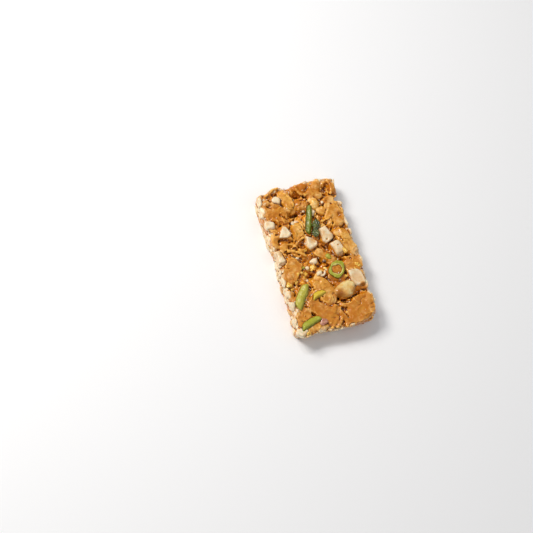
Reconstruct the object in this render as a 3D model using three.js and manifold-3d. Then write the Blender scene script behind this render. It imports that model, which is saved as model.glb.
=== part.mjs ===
// A bar of peanut brittle with pistachio: chopped peanuts set in caramel, pressed flat on top and
// cut at its four sides. It lies on its flat underside. Millimetres, +Z up, +Y along the bar.
// The origin is the centre of the underside.

import * as THREE from 'three';
import { mergeVertices } from 'three/addons/utils/BufferGeometryUtils.js';
import Module from 'manifold-3d';

// ---- driving dimensions ----
const barWidth = 49;
const barLength = 90;
const plateLevel = 12.4;        // height of the pressed plates of caramel over nut
const crevicePlane = 10.3;      // height of the crevices between the plates
const bandDrop = 1.1;           // how much lower the crumbly middle band lies
const bandMiddle = -3.5;
const bandReach = 9;
const rimRound = 0.8;           // rounding of the top edge
const footRound = 0.35;         // rounding of the bottom edge
const sideRelief = 0.75;        // depth of the broken texture on the cut sides
const fitGap = 0.35;            // clearance between a seated piece and its pocket
const proudCut = 0.3;           // how far cut nuts stand out of the cut sides
const nearLean = 2.2;           // how far the near side's foot stands in from its rim

const gridStep = 1.7;           // mesh step on the top
const sideLevels = 4;           // mesh rows on the sides
const plateSeed = 7;
const sideSeed = 21;

// The four corners are rounded differently, as they broke.
const cornerRadius = { nearLeft: 3.5, nearRight: 7.5, farLeft: 4.5, farRight: 2.5 };

// Bulges and dents of the cut edges: place along the edge, reach, and how far out.
const edgeWaves = {
  right: [[-5, 10, 1.3], [18, 5, -1.5], [30.5, 2.2, -3.6], [38, 4, -1.2], [-31.5, 4, 1.1], [-24, 2, -0.6]],
  left: [[3, 5, -1.2], [-40, 3, 0.9], [-28, 2.5, -0.9], [29, 9, 0.6], [14, 2.5, 0.4]],
  far: [[-20, 3.5, -2.4], [-6, 4, -1.0], [8, 7, 0.6], [-14, 2, 0.5]],
  near: [[4, 8, 0.6], [-12, 4, -0.6], [-20, 3, 0.5]],
};

// Pressed plates: centre x, y, length, width, turn in degrees, level above plateLevel, and the
// slopes along and across the plate.
const namedPlates = {
  sideFlag: [-17.8, -5.4, 14.9, 10.2, 54, 0.1, 0.03, -0.04],
  midShield: [-3.2, -21.1, 17.5, 11.1, 116, 0.3, 0.02, 0.05],
  cornerSheet: [13.5, -36.0, 23, 14, 19, 0.1, 0.02, -0.02],
  nearSheet: [-5.3, -31.7, 21, 13.5, 128, 0, -0.01, 0.03],
  nearLip: [-13, -40.6, 16, 6, 4, -0.3, 0, 0.04],
  farShelf: [11.5, 38.5, 13, 9, 40, -0.1, 0.03, 0.03],
  farCorner: [19.0, 38.6, 8, 9, 80, 0.3, 0, 0.03],
  leftFar: [-18.5, 29.9, 18.6, 11.2, 143, 0.0, -0.03, 0.05],
  rightMid: [19.1, -8.5, 12, 10.7, 6, 0.1, 0.03, -0.03],
  rightTall: [19.2, 4.7, 17.3, 8, 111, 0.2, -0.02, 0.03],
  rightFar: [17.0, 20.5, 13.8, 11.3, 48, 0.1, 0.03, 0.02],
  farLeftCap: [0.9, 40.9, 14.5, 6.8, 176, -0.5, 0.02, 0.04],
  ridge: [-8.5, 34.9, 13.2, 6.5, 101, 0.4, 0.02, 0.06],
  leanA: [-7.0, 16.7, 11.1, 7.1, 98, 0.0, 0.04, 0.04],
  leftRim: [-22.4, 13.6, 9.5, 5.5, 93, 0.0, 0, 0.05],
  leftRib: [-15.6, 8.6, 10.5, 5.2, 4, -0.2, 0.02, 0.06],
  leftNear: [-17.6, -28.5, 15, 9.6, 66, -0.1, 0.03, -0.03],
  nearLeft: [-19.4, -36.2, 10.5, 6, 172, -0.2, 0.03, 0.02],
  ringBed: [7.8, -12.6, 13, 10, 160, -0.5, 0.02, 0.02],
  middleRib: [4.7, -1.2, 14, 4.8, 144, 0.5, 0.02, 0.03],
  knob: [-1.0, 31.2, 9.4, 7.6, 178, 0.7, 0, 0.04],
  knobBeside: [7.4, 30.0, 7.4, 6, 49, 0.2, 0.02, 0.02],
  lowCap: [11.2, 24.6, 8, 5.6, 138, 0.0, 0.02, 0.03],
  bandCrest: [-13.5, 20.8, 8, 4.6, 30, -0.5, 0.03, 0.05],
  nutBedNear: [13.5, -21.8, 12, 9, 20, -0.8, 0.02, 0.02],
  bandBridge: [-8.6, 5.2, 9, 3.2, 168, -0.3, 0.03, 0.05],
};
const fillPlates = 46;
const fillPlateSize = [3.6, 6.4];
const fillPlateLevel = [-1.5, -0.4];

// Pits in the top: x, y, radius, depth.
const pits = {
  farCrumb: [-6.3, 25.5, 3.6, 3.2],
  farRight: [15.4, 37.1, 2.3, 3.4],
  farMiddle: [-0.3, 37.6, 2.2, 2.4],
  triangle: [5.0, -34.9, 1.8, 3.0],
  corner: [8.1, -29.8, 1.7, 2.4],
  besideSliver: [-11.4, -18.3, 1.6, 2.6],
  bandCrumb: [-7.6, -10.0, 3.8, 2.4],
  bandDeep: [-0.2, -10.6, 2.2, 2.8],
  leftDeep: [-14.6, 6.0, 2.2, 2.2],
  middle: [4.2, -27.0, 1.5, 2.2],
  smallA: [-15.6, -28.4, 0.9, 2.0],
  smallB: [-13.8, -33.3, 0.9, 1.8],
  rightSlot: [20.6, -25.4, 1.6, 2.6],
  besideNut: [16.4, 8.9, 1.7, 2.0],
};

// Chopped peanuts fused into the slab: x, y, length, width, height, turn, lift of the top above
// plateLevel, seed.
const fusedNuts = {
  crumbFar: [-14.7, 37.0, 6.1, 4.5, 5, 143, 0.5, 3],
  leftRimNut: [-22.6, 22.4, 7.1, 5, 6, 149, 0.3, 4],
  bandWhite: [-3.4, -4.1, 5.3, 3.8, 4.5, 17, 0.1, 5],
  bandCup: [-3.1, -11.2, 5.0, 4.1, 4.5, 132, 0.0, 6],
  leftLow: [-24.0, -26.4, 7.2, 4.4, 6, 106, 0.0, 7],
  cornerNut: [-22.0, -42.0, 7.8, 5.4, 6.5, 139, 0.2, 8],
  besideLeaf: [3.2, 22.0, 3.6, 2.8, 3.4, 20, 0.3, 9],
  bandGreen: [5.2, -2.2, 4.1, 1.9, 2.4, 147, 0.6, 10],
  bandSeed: [-14.0, 1.3, 3.0, 2.0, 2.4, 20, 0.0, 11],
  nearSkin: [-9.6, -39.4, 4.2, 3.6, 2.0, 40, 0.35, 12],
  rightRimNut: [22.6, 22.6, 6.4, 4.6, 6, 80, 0.2, 13],
  farRimNut: [14.0, 43.4, 7.0, 4.4, 6, 8, 0.0, 14],
};
const sideNutCount = 18;
const sideNutSize = [5.5, 11];

// Seated pieces: centre, length, width and height, turn, and lift of the top above plateLevel.
const pistachioSlivers = {
  pistachio_sliver_long: { at: [0.8, 21.8], size: [16.4, 4.1, 3.6], turn: 71, lift: 1.4, bend: 0.5 },
  pistachio_sliver_broad: { at: [-16.9, -21.2], size: [13.4, 4.8, 3.0], turn: 57, lift: 1.2, bend: -0.3 },
  pistachio_sliver_yellow: { at: [-6.9, -22.9], size: [7.9, 3.4, 2.8], turn: 16, lift: 1.5, bend: 0.2 },
  pistachio_sliver_near: { at: [-16.2, -38.0], size: [12.2, 4.0, 3.2], turn: 19, lift: 1.2, bend: 0.5 },
};
const ring = { at: [8.0, -10.9], outer: [10.4, 9.0], tube: [2.1, 2.8], turn: 29, lift: 0.9 };
const leaf = { at: [3.7, 15.9], size: [10.2, 4.6], thickness: 0.5, turn: 66, lift: 0.9, crumple: 0.5 };
const peanuts = {
  peanut_wedge: { at: [-15.4, 16.4], size: [8.8, 6.2, 4.5], turn: 55, lift: 0.8, seed: 31 },
  peanut_half: { at: [-2.5, 7.4], size: [8.2, 6.2, 5.5], turn: 112, lift: 0.8, seed: 32 },
  peanut_split: { at: [8.7, 11.5], size: [9.6, 6.8, 6], turn: 96, lift: 0.7, seed: 33 },
  peanut_tall: { at: [13.4, 0.6], size: [9.4, 6.4, 6], turn: 119, lift: 0.6, seed: 34 },
  peanut_broad: { at: [18.7, -18.0], size: [13.4, 7.8, 6.5], turn: 124, lift: 0.7, seed: 35 },
  peanut_glazed: { at: [8.4, -22.7], size: [12.2, 7.2, 6.5], turn: 13, lift: 0.9, seed: 36 },
  peanut_edge: { at: [-22.2, 2.6], size: [9.4, 7.6, 7.5], turn: 96, lift: -0.5, seed: 37 },
};

// ---- helpers ----
const halfWidth = barWidth / 2;
const halfLength = barLength / 2;
const radians = THREE.MathUtils.degToRad;
const lerp = THREE.MathUtils.lerp;

// The same short generator gives every random draw, so the bar comes out the same each time.
function seededRandom(seed) {
  let state = seed >>> 0;
  return () => {
    state = (state + 0x6d2b79f5) >>> 0;
    let mixed = Math.imul(state ^ (state >>> 15), state | 1);
    mixed = (mixed + Math.imul(mixed ^ (mixed >>> 7), mixed | 61)) ^ mixed;
    return ((mixed ^ (mixed >>> 14)) >>> 0) / 4294967296;
  };
}

function waveSum(waves, along) {
  return waves.reduce((sum, [at, reach, out]) => sum + out * Math.exp(-(((along - at) / reach) ** 2)), 0);
}

// Fine waviness of every cut edge.
function ripple(along, phase) {
  return 0.22 * Math.sin(along * 0.9 + phase) + 0.16 * Math.sin(along * 2.1 + 2 * phase);
}

// A point of the bar's plan: u and v run from -1 to 1 across and along it.
function planPoint(u, v) {
  const y0 = v * halfLength;
  const x0 = u * halfWidth;
  const left = -halfWidth - waveSum(edgeWaves.left, y0) - ripple(y0, 1);
  const right = halfWidth + waveSum(edgeWaves.right, y0) + ripple(y0, 2);
  const near = -halfLength - waveSum(edgeWaves.near, x0) - ripple(x0, 3);
  const far = halfLength + waveSum(edgeWaves.far, x0) + ripple(x0, 4);
  let x = lerp(left, right, (u + 1) / 2);
  let y = lerp(near, far, (v + 1) / 2);
  const radius = cornerRadius[(v < 0 ? 'near' : 'far') + (u < 0 ? 'Left' : 'Right')];
  const inX = Math.abs(x0) - (halfWidth - radius);
  const inY = Math.abs(y0) - (halfLength - radius);
  if (inX > 0 && inY > 0) {
    const pull = Math.max(inX, inY) / Math.hypot(inX, inY) - 1;
    x += Math.sign(u) * inX * pull;
    y += Math.sign(v) * inY * pull;
  }
  return [x, y];
}

// ---- relief of the top ----
function plateFrom([x, y, length, width, turn, level, slopeAlong, slopeAcross]) {
  return {
    x, y, slopeAlong, slopeAcross,
    halfLong: length / 2,
    halfShort: width / 2,
    cos: Math.cos(radians(turn)),
    sin: Math.sin(radians(turn)),
    level: plateLevel + level,
  };
}

function makePlates() {
  const random = seededRandom(plateSeed);
  const plates = Object.values(namedPlates).map(plateFrom);
  for (let i = 0; i < fillPlates; i += 1) {
    const x = lerp(-halfWidth, halfWidth, random());
    const y = lerp(-halfLength, halfLength, random());
    const length = lerp(...fillPlateSize, random());
    const width = length * lerp(0.55, 0.9, random());
    const level = lerp(...fillPlateLevel, random());
    plates.push(plateFrom([x, y, length, width, 180 * random(), level, 0, 0.12 * (random() - 0.5)]));
  }
  return plates;
}
const plates = makePlates();

// Height of one plate: flat in the middle, rounding over and falling off past its outline.
function plateHeight(plate, x, y) {
  const dx = x - plate.x;
  const dy = y - plate.y;
  const along = dx * plate.cos + dy * plate.sin;
  const across = dy * plate.cos - dx * plate.sin;
  const squareness = 3;
  const out = (Math.abs(along / plate.halfLong) ** squareness
    + Math.abs(across / plate.halfShort) ** squareness) ** (1 / squareness);
  const past = Math.max(0, out - 0.78) * plate.halfShort;
  return plate.level + along * plate.slopeAlong + across * plate.slopeAcross - 1.15 * past ** 1.5;
}

function topHeight(x, y) {
  const band = bandDrop * Math.exp(-(((y - bandMiddle) / bandReach) ** 4));
  const bed = crevicePlane + 0.25 * Math.sin(x * 1.3 + 2) * Math.sin(y * 1.1);
  let height = plates.reduce((best, plate) => Math.max(best, plateHeight(plate, x, y)), bed) - band;
  for (const [px, py, radius, depth] of Object.values(pits)) {
    height -= depth * Math.exp(-(((x - px) ** 2 + (y - py) ** 2) / radius ** 2));
  }
  return height;
}

// ---- the slab ----
// Broken faces of the cut sides: flat cells at slightly different depths.
function makeSideCells() {
  const random = seededRandom(sideSeed);
  const cells = [];
  for (let i = 0; i < 90; i += 1) {
    const around = random();
    const up = random() * plateLevel;
    cells.push({ around, up, depth: sideRelief * random(), lean: 0.25 * (random() - 0.5) });
  }
  return cells;
}
const sideCells = makeSideCells();
const perimeter = 2 * (barWidth + barLength);

function sideDepth(around, z) {
  let nearest = null;
  let best = Infinity;
  for (const cell of sideCells) {
    const turnGap = Math.abs(around - cell.around);
    const along = Math.min(turnGap, 1 - turnGap) * perimeter;
    const distance = Math.hypot(along, 1.3 * (z - cell.up));
    if (distance < best) {
      best = distance;
      nearest = cell;
    }
  }
  return nearest.depth + nearest.lean * (z - nearest.up);
}

// The closed body between the plan outline, the underside and a top height; grow moves its sides out.
function planBody(heightAt, grow, textured) {
  const across = Math.round(barWidth / gridStep);
  const along = Math.round(barLength / gridStep);
  const position = [];
  const index = [];
  const topIndex = (i, j) => j * (across + 1) + i;
  const rim = [];
  for (let i = 0; i < across; i += 1) rim.push([i, 0]);
  for (let j = 0; j < along; j += 1) rim.push([across, j]);
  for (let i = across; i > 0; i -= 1) rim.push([i, along]);
  for (let j = along; j > 0; j -= 1) rim.push([0, j]);
  const planOf = (i, j) => planPoint((2 * i) / across - 1, (2 * j) / along - 1);
  const rimPlan = rim.map(([i, j]) => planOf(i, j));
  const rimNormal = rimPlan.map((point, k) => {
    const before = rimPlan[(k + rim.length - 1) % rim.length];
    const after = rimPlan[(k + 1) % rim.length];
    const dx = after[0] - before[0];
    const dy = after[1] - before[1];
    const size = Math.hypot(dx, dy);
    return [dy / size, -dx / size];
  });
  for (let j = 0; j <= along; j += 1) {
    for (let i = 0; i <= across; i += 1) {
      const [x, y] = planOf(i, j);
      const onRim = i === 0 || j === 0 || i === across || j === along;
      position.push(x, y, heightAt(x, y) - (onRim && textured ? rimRound : 0));
    }
  }
  rim.forEach(([i, j], k) => {
    const at = 3 * topIndex(i, j);
    const inset = textured ? 0.35 : 0;
    position[at] += (grow - inset) * rimNormal[k][0];
    position[at + 1] += (grow - inset) * rimNormal[k][1];
  });
  for (let j = 0; j < along; j += 1) {
    for (let i = 0; i < across; i += 1) {
      const a = topIndex(i, j);
      const b = topIndex(i + 1, j);
      const c = topIndex(i + 1, j + 1);
      const d = topIndex(i, j + 1);
      if ((i + j) % 2) index.push(a, b, c, a, c, d);
      else index.push(a, b, d, b, c, d);
    }
  }
  let upper = rim.map(([i, j]) => topIndex(i, j));
  const rimTop = upper.map((at) => position[3 * at + 2]);
  const levels = textured ? sideLevels : 1;
  for (let level = 1; level <= levels; level += 1) {
    const start = position.length / 3;
    rim.forEach((_, k) => {
      const z = rimTop[k] * (1 - level / levels);
      const foot = level === levels ? footRound : 0;
      const out = textured ? grow - foot - sideDepth(k / rim.length, z) : grow;
      const lean = nearLean * Math.max(0, -rimNormal[k][1]) * Math.max(0, 1 - z / plateLevel);
      position.push(rimPlan[k][0] + out * rimNormal[k][0], rimPlan[k][1] + out * rimNormal[k][1] + lean, z);
    });
    const lower = rim.map((_, k) => start + k);
    for (let k = 0; k < rim.length; k += 1) {
      const next = (k + 1) % rim.length;
      if ((k + level) % 2) index.push(upper[k], lower[k], lower[next], upper[k], lower[next], upper[next]);
      else index.push(upper[k], lower[k], upper[next], lower[k], lower[next], upper[next]);
    }
    upper = lower;
  }
  const foot = upper.map((at) => new THREE.Vector2(position[3 * at], position[3 * at + 1]));
  for (const [a, b, c] of THREE.ShapeUtils.triangulateShape(foot, [])) {
    index.push(upper[a], upper[c], upper[b]);
  }
  const geometry = new THREE.BufferGeometry();
  geometry.setAttribute('position', new THREE.Float32BufferAttribute(position, 3));
  geometry.setIndex(index);
  return geometry;
}

// ---- seated and fused pieces ----
// Turns a piece made around its own centre and sets its top at a height above the pressed plates.
function seat(geometry, [x, y], height, turn, lift) {
  geometry.rotateZ(radians(turn));
  geometry.translate(x, y, plateLevel + lift - height / 2);
  return geometry;
}

// A chopped nut: a round kernel flattened by a few seeded knife cuts, one of them on top.
function choppedNut([length, width, height], seed, detail, grow) {
  const random = seededRandom(seed);
  const cuts = [[0.25 * (random() - 0.5), 0.25 * (random() - 0.5), 1, 0.72]];
  for (let i = 0; i < 5; i += 1) {
    const angle = (i + 0.7 * random()) * (2 * Math.PI / 5);
    cuts.push([Math.cos(angle), Math.sin(angle), 0.5 * (random() - 0.4), lerp(0.56, 0.88, random())]);
  }
  const geometry = solidGeometry(new THREE.IcosahedronGeometry(1, detail));
  const position = geometry.attributes.position;
  const point = new THREE.Vector3();
  const normal = new THREE.Vector3();
  for (let i = 0; i < position.count; i += 1) {
    point.fromBufferAttribute(position, i);
    for (const [nx, ny, nz, reach] of cuts) {
      normal.set(nx, ny, nz).normalize();
      point.addScaledVector(normal, -Math.max(0, point.dot(normal) - reach));
    }
    position.setXYZ(i, point.x, point.y, point.z);
  }
  geometry.scale(length / 2 / 0.82 + grow, width / 2 / 0.82 + grow, height / 2 / 0.85 + grow);
  return geometry;
}

// A pistachio sliver: oval sections along a slightly bent axis, closing to blunt tips.
function sliver([length, width, height], bend, grow) {
  const around = 10;
  const steps = 10;
  const position = [];
  const index = [];
  const halfLong = length / 2 + grow;
  position.push(-halfLong, 0, 0);
  for (let i = 1; i < steps; i += 1) {
    const along = -Math.cos((Math.PI * i) / steps);
    const size = (1 - Math.abs(along) ** 3.4) ** 0.5;
    const sway = bend * (1 - along ** 2);
    for (let k = 0; k < around; k += 1) {
      const angle = (2 * Math.PI * k) / around;
      position.push(
        halfLong * along,
        sway + (width / 2 + grow) * size * Math.cos(angle),
        (height / 2 + grow) * size * Math.sin(angle),
      );
    }
  }
  position.push(halfLong, 0, 0);
  const last = position.length / 3 - 1;
  const at = (i, k) => 1 + (i - 1) * around + (k % around);
  for (let k = 0; k < around; k += 1) {
    index.push(0, at(1, k + 1), at(1, k));
    index.push(last, at(steps - 1, k), at(steps - 1, k + 1));
    for (let i = 1; i < steps - 1; i += 1) {
      index.push(at(i, k), at(i, k + 1), at(i + 1, k + 1), at(i, k), at(i + 1, k + 1), at(i + 1, k));
    }
  }
  const geometry = new THREE.BufferGeometry();
  geometry.setAttribute('position', new THREE.Float32BufferAttribute(position, 3));
  geometry.setIndex(index);
  return geometry;
}

// A slice across a pistachio husk: an uneven oval ring.
function ringSlice(grow) {
  const around = 18;
  const section = 6;
  const [outerLong, outerShort] = ring.outer;
  const [wall, height] = ring.tube;
  const position = [];
  const index = [];
  for (let i = 0; i < around; i += 1) {
    const turn = (2 * Math.PI * i) / around;
    const uneven = 1 + 0.05 * Math.sin(3 * turn + 1);
    for (let k = 0; k < section; k += 1) {
      const angle = (2 * Math.PI * k) / section;
      const reach = (wall / 2 + grow) * Math.cos(angle);
      position.push(
        ((outerLong - wall) / 2 * uneven + reach) * Math.cos(turn),
        ((outerShort - wall) / 2 * uneven + reach) * Math.sin(turn),
        (height / 2 + grow) * Math.sin(angle),
      );
    }
  }
  const at = (i, k) => (i % around) * section + (k % section);
  for (let i = 0; i < around; i += 1) {
    for (let k = 0; k < section; k += 1) {
      index.push(at(i, k), at(i + 1, k), at(i + 1, k + 1), at(i, k), at(i + 1, k + 1), at(i, k + 1));
    }
  }
  const geometry = new THREE.BufferGeometry();
  geometry.setAttribute('position', new THREE.Float32BufferAttribute(position, 3));
  geometry.setIndex(index);
  return geometry;
}

// A thin crumpled leaf: both faces follow the same waves and are split into triangles alike.
function crumpledLeaf(below, above, grow) {
  const across = 5;
  const along = 9;
  const position = [];
  const index = [];
  const point = (i, j, lift) => {
    const v = (2 * j) / along - 1;
    const u = (2 * i) / across - 1;
    const size = 0.14 + 0.86 * (1 - v * v) ** 0.6;
    const crease = leaf.crumple * (Math.sin(5.2 * v + 1.3 * u) * 0.7 + Math.cos(3.1 * u - 2.2 * v) * 0.5);
    position.push(
      v * (leaf.size[0] / 2 + grow),
      u * (leaf.size[1] / 2 * size + grow),
      crease + lift,
    );
  };
  for (const lift of [above, -below]) {
    for (let j = 0; j <= along; j += 1) {
      for (let i = 0; i <= across; i += 1) point(i, j, lift);
    }
  }
  const half = (across + 1) * (along + 1);
  const at = (i, j, face) => face * half + j * (across + 1) + i;
  for (let j = 0; j < along; j += 1) {
    for (let i = 0; i < across; i += 1) {
      const [a, b, c, d] = [at(i, j, 0), at(i + 1, j, 0), at(i + 1, j + 1, 0), at(i, j + 1, 0)];
      index.push(a, c, b, a, d, c);
      index.push(a + half, b + half, c + half, a + half, c + half, d + half);
    }
  }
  const wall = (a, b) => index.push(a, b, b + half, a, b + half, a + half);
  for (let i = 0; i < across; i += 1) {
    wall(at(i, 0, 0), at(i + 1, 0, 0));
    wall(at(i + 1, along, 0), at(i, along, 0));
  }
  for (let j = 0; j < along; j += 1) {
    wall(at(across, j, 0), at(across, j + 1, 0));
    wall(at(0, j + 1, 0), at(0, j, 0));
  }
  const geometry = new THREE.BufferGeometry();
  geometry.setAttribute('position', new THREE.Float32BufferAttribute(position, 3));
  geometry.setIndex(index);
  return geometry;
}

// ---- solids ----
function solidGeometry(geometry) {
  const bare = geometry.clone();
  bare.deleteAttribute('normal');
  bare.deleteAttribute('uv');
  return mergeVertices(bare, 1e-4);
}

const wasm = await Module();
wasm.setup();

function toManifold(geometry) {
  const bare = solidGeometry(geometry);
  return new wasm.Manifold(new wasm.Mesh({
    numProp: 3,
    vertProperties: new Float32Array(bare.attributes.position.array),
    triVerts: new Uint32Array(bare.index.array),
  }));
}

function toGeometry(manifold) {
  const mesh = manifold.getMesh();
  const geometry = new THREE.BufferGeometry();
  geometry.setAttribute('position', new THREE.Float32BufferAttribute(mesh.vertProperties, 3));
  geometry.setIndex([...mesh.triVerts]);
  return geometry;
}

function largestPiece(manifold) {
  return manifold.decompose().reduce((a, b) => (a.volume() > b.volume() ? a : b));
}

// Nuts that the knife went through show on the cut sides; they are spread round the outline.
function sideNutSolids(blank) {
  const random = seededRandom(sideSeed + 1);
  const solids = [];
  for (let i = 0; i < sideNutCount; i += 1) {
    const around = (i + 0.6 * random()) / sideNutCount * perimeter;
    const size = lerp(...sideNutSize, random());
    const up = lerp(3.2, 8.6, random());
    const [u, v] = around < barWidth ? [2 * around / barWidth - 1, -1]
      : around < barWidth + barLength ? [1, 2 * (around - barWidth) / barLength - 1]
        : around < 2 * barWidth + barLength ? [1 - 2 * (around - barWidth - barLength) / barWidth, 1]
          : [-1, 1 - 2 * (around - 2 * barWidth - barLength) / barLength];
    const [x, y] = planPoint(0.97 * u, 0.985 * v);
    const nut = choppedNut([size, size * 0.62, size * lerp(0.5, 0.8, random())], 60 + i, 1, 0);
    nut.rotateX(0.8 * (random() - 0.5));
    nut.rotateZ((Math.abs(u) === 1 ? Math.PI / 2 : 0) + 0.5 * (random() - 0.5));
    nut.translate(x, y, up);
    solids.push(toManifold(nut).intersect(blank));
  }
  return solids;
}

const tallBlank = 20;
const blank = toManifold(planBody(() => tallBlank, proudCut - sideRelief / 2, false));

function buildPieces() {
  const pieces = {};
  const pockets = [];
  for (const [name, { at, size, turn, lift, bend }] of Object.entries(pistachioSlivers)) {
    pieces[name] = toManifold(seat(sliver(size, bend, 0), at, size[2], turn, lift));
    pockets.push(toManifold(seat(sliver(size, bend, fitGap), at, size[2], turn, lift)));
  }
  for (const [name, { at, size, turn, lift, seed }] of Object.entries(peanuts)) {
    const nut = (grow) => toManifold(seat(choppedNut(size, seed, 2, grow), at, size[2], turn, lift));
    pieces[name] = nut(0).intersect(blank);
    pockets.push(nut(fitGap));
  }
  const ringHeight = ring.tube[1];
  pieces.pistachio_ring = toManifold(seat(ringSlice(0), ring.at, ringHeight, ring.turn, ring.lift));
  pockets.push(toManifold(seat(ringSlice(fitGap), ring.at, ringHeight, ring.turn, ring.lift)));
  const half = leaf.thickness / 2;
  const leafSheet = crumpledLeaf(half, half, 0);
  const leafPocket = crumpledLeaf(half + fitGap, half + 3, fitGap);
  pieces.herb_leaf = toManifold(seat(leafSheet, leaf.at, leaf.thickness, leaf.turn, leaf.lift));
  pockets.push(toManifold(seat(leafPocket, leaf.at, leaf.thickness, leaf.turn, leaf.lift)));

  let slab = toManifold(planBody(topHeight, 0, true));
  for (const nut of sideNutSolids(blank)) slab = slab.add(nut);
  for (const [x, y, length, width, height, turn, lift, seed] of Object.values(fusedNuts)) {
    const nut = seat(choppedNut([length, width, height], seed, 1, 0), [x, y], height, turn, lift);
    slab = slab.add(toManifold(nut).intersect(blank));
  }
  for (const pocket of pockets) slab = slab.subtract(pocket);
  pieces.brittle_slab = largestPiece(slab);
  return pieces;
}

// ---- materials ----
const caramel = new THREE.MeshStandardMaterial({ color: '#c4863f', roughness: 0.34, metalness: 0 });
const nutMeat = new THREE.MeshStandardMaterial({ color: '#e6c993', roughness: 0.5, metalness: 0 });
const glazedNut = new THREE.MeshStandardMaterial({ color: '#d0a764', roughness: 0.2, metalness: 0 });
const pistachio = new THREE.MeshStandardMaterial({ color: '#93a33e', roughness: 0.35, metalness: 0 });
const yellowPistachio = new THREE.MeshStandardMaterial({ color: '#c3ad3f', roughness: 0.35, metalness: 0 });
const driedLeaf = new THREE.MeshStandardMaterial({ color: '#4c5a2a', roughness: 0.45, metalness: 0 });

const materialOf = {
  brittle_slab: caramel,
  peanut_glazed: glazedNut,
  pistachio_sliver_yellow: yellowPistachio,
  herb_leaf: driedLeaf,
};

const bar = new THREE.Group();
for (const [name, solid] of Object.entries(buildPieces())) {
  const material = materialOf[name] ?? (name.startsWith('peanut') ? nutMeat : pistachio);
  const mesh = new THREE.Mesh(toGeometry(solid), material);
  mesh.name = name;
  bar.add(mesh);
}

export default bar;
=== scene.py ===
# A bar of peanut brittle with pistachio, lying on its flat underside, pressed side up.
# Lengths are in millimetres in the code and become metres when a mesh is made.
import math
import bmesh
import bpy
import numpy as np
import openvdb
from mathutils import Matrix, Vector


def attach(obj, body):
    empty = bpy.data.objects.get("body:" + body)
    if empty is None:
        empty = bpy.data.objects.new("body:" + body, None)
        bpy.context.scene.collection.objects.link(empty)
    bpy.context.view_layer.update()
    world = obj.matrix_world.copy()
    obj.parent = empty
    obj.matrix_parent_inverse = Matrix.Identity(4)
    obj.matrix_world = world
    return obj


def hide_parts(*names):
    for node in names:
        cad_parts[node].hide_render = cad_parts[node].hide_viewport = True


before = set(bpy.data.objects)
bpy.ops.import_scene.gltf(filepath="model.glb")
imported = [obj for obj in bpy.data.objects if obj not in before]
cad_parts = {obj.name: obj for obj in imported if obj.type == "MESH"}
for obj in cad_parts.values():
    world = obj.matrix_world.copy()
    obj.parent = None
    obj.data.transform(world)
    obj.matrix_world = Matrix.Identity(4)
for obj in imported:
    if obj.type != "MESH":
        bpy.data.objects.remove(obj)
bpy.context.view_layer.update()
mm = 0.001

# the bar's own sizes, the same rule as its solid
bar = {"width": 49.0, "length": 90.0, "plateLevel": 12.4, "creviceLevel": 10.3, "nearLean": 2.2,
       "bandDrop": 1.1, "bandMiddle": -3.5, "bandReach": 9.0,
       "corners": {"nearLeft": 3.5, "nearRight": 7.5, "farLeft": 4.5, "farRight": 2.5}}

edgeWaves = {
    "right": [(-5, 10, 1.3), (18, 5, -1.5), (30.5, 2.2, -3.6), (38, 4, -1.2), (-31.5, 4, 1.1), (-24, 2, -0.6)],
    "left": [(3, 5, -1.2), (-40, 3, 0.9), (-28, 2.5, -0.9), (29, 9, 0.6), (14, 2.5, 0.4)],
    "far": [(-20, 3.5, -2.4), (-6, 4, -1.0), (8, 7, 0.6), (-14, 2, 0.5)],
    "near": [(4, 8, 0.6), (-12, 4, -0.6), (-20, 3, 0.5)],
}

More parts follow.
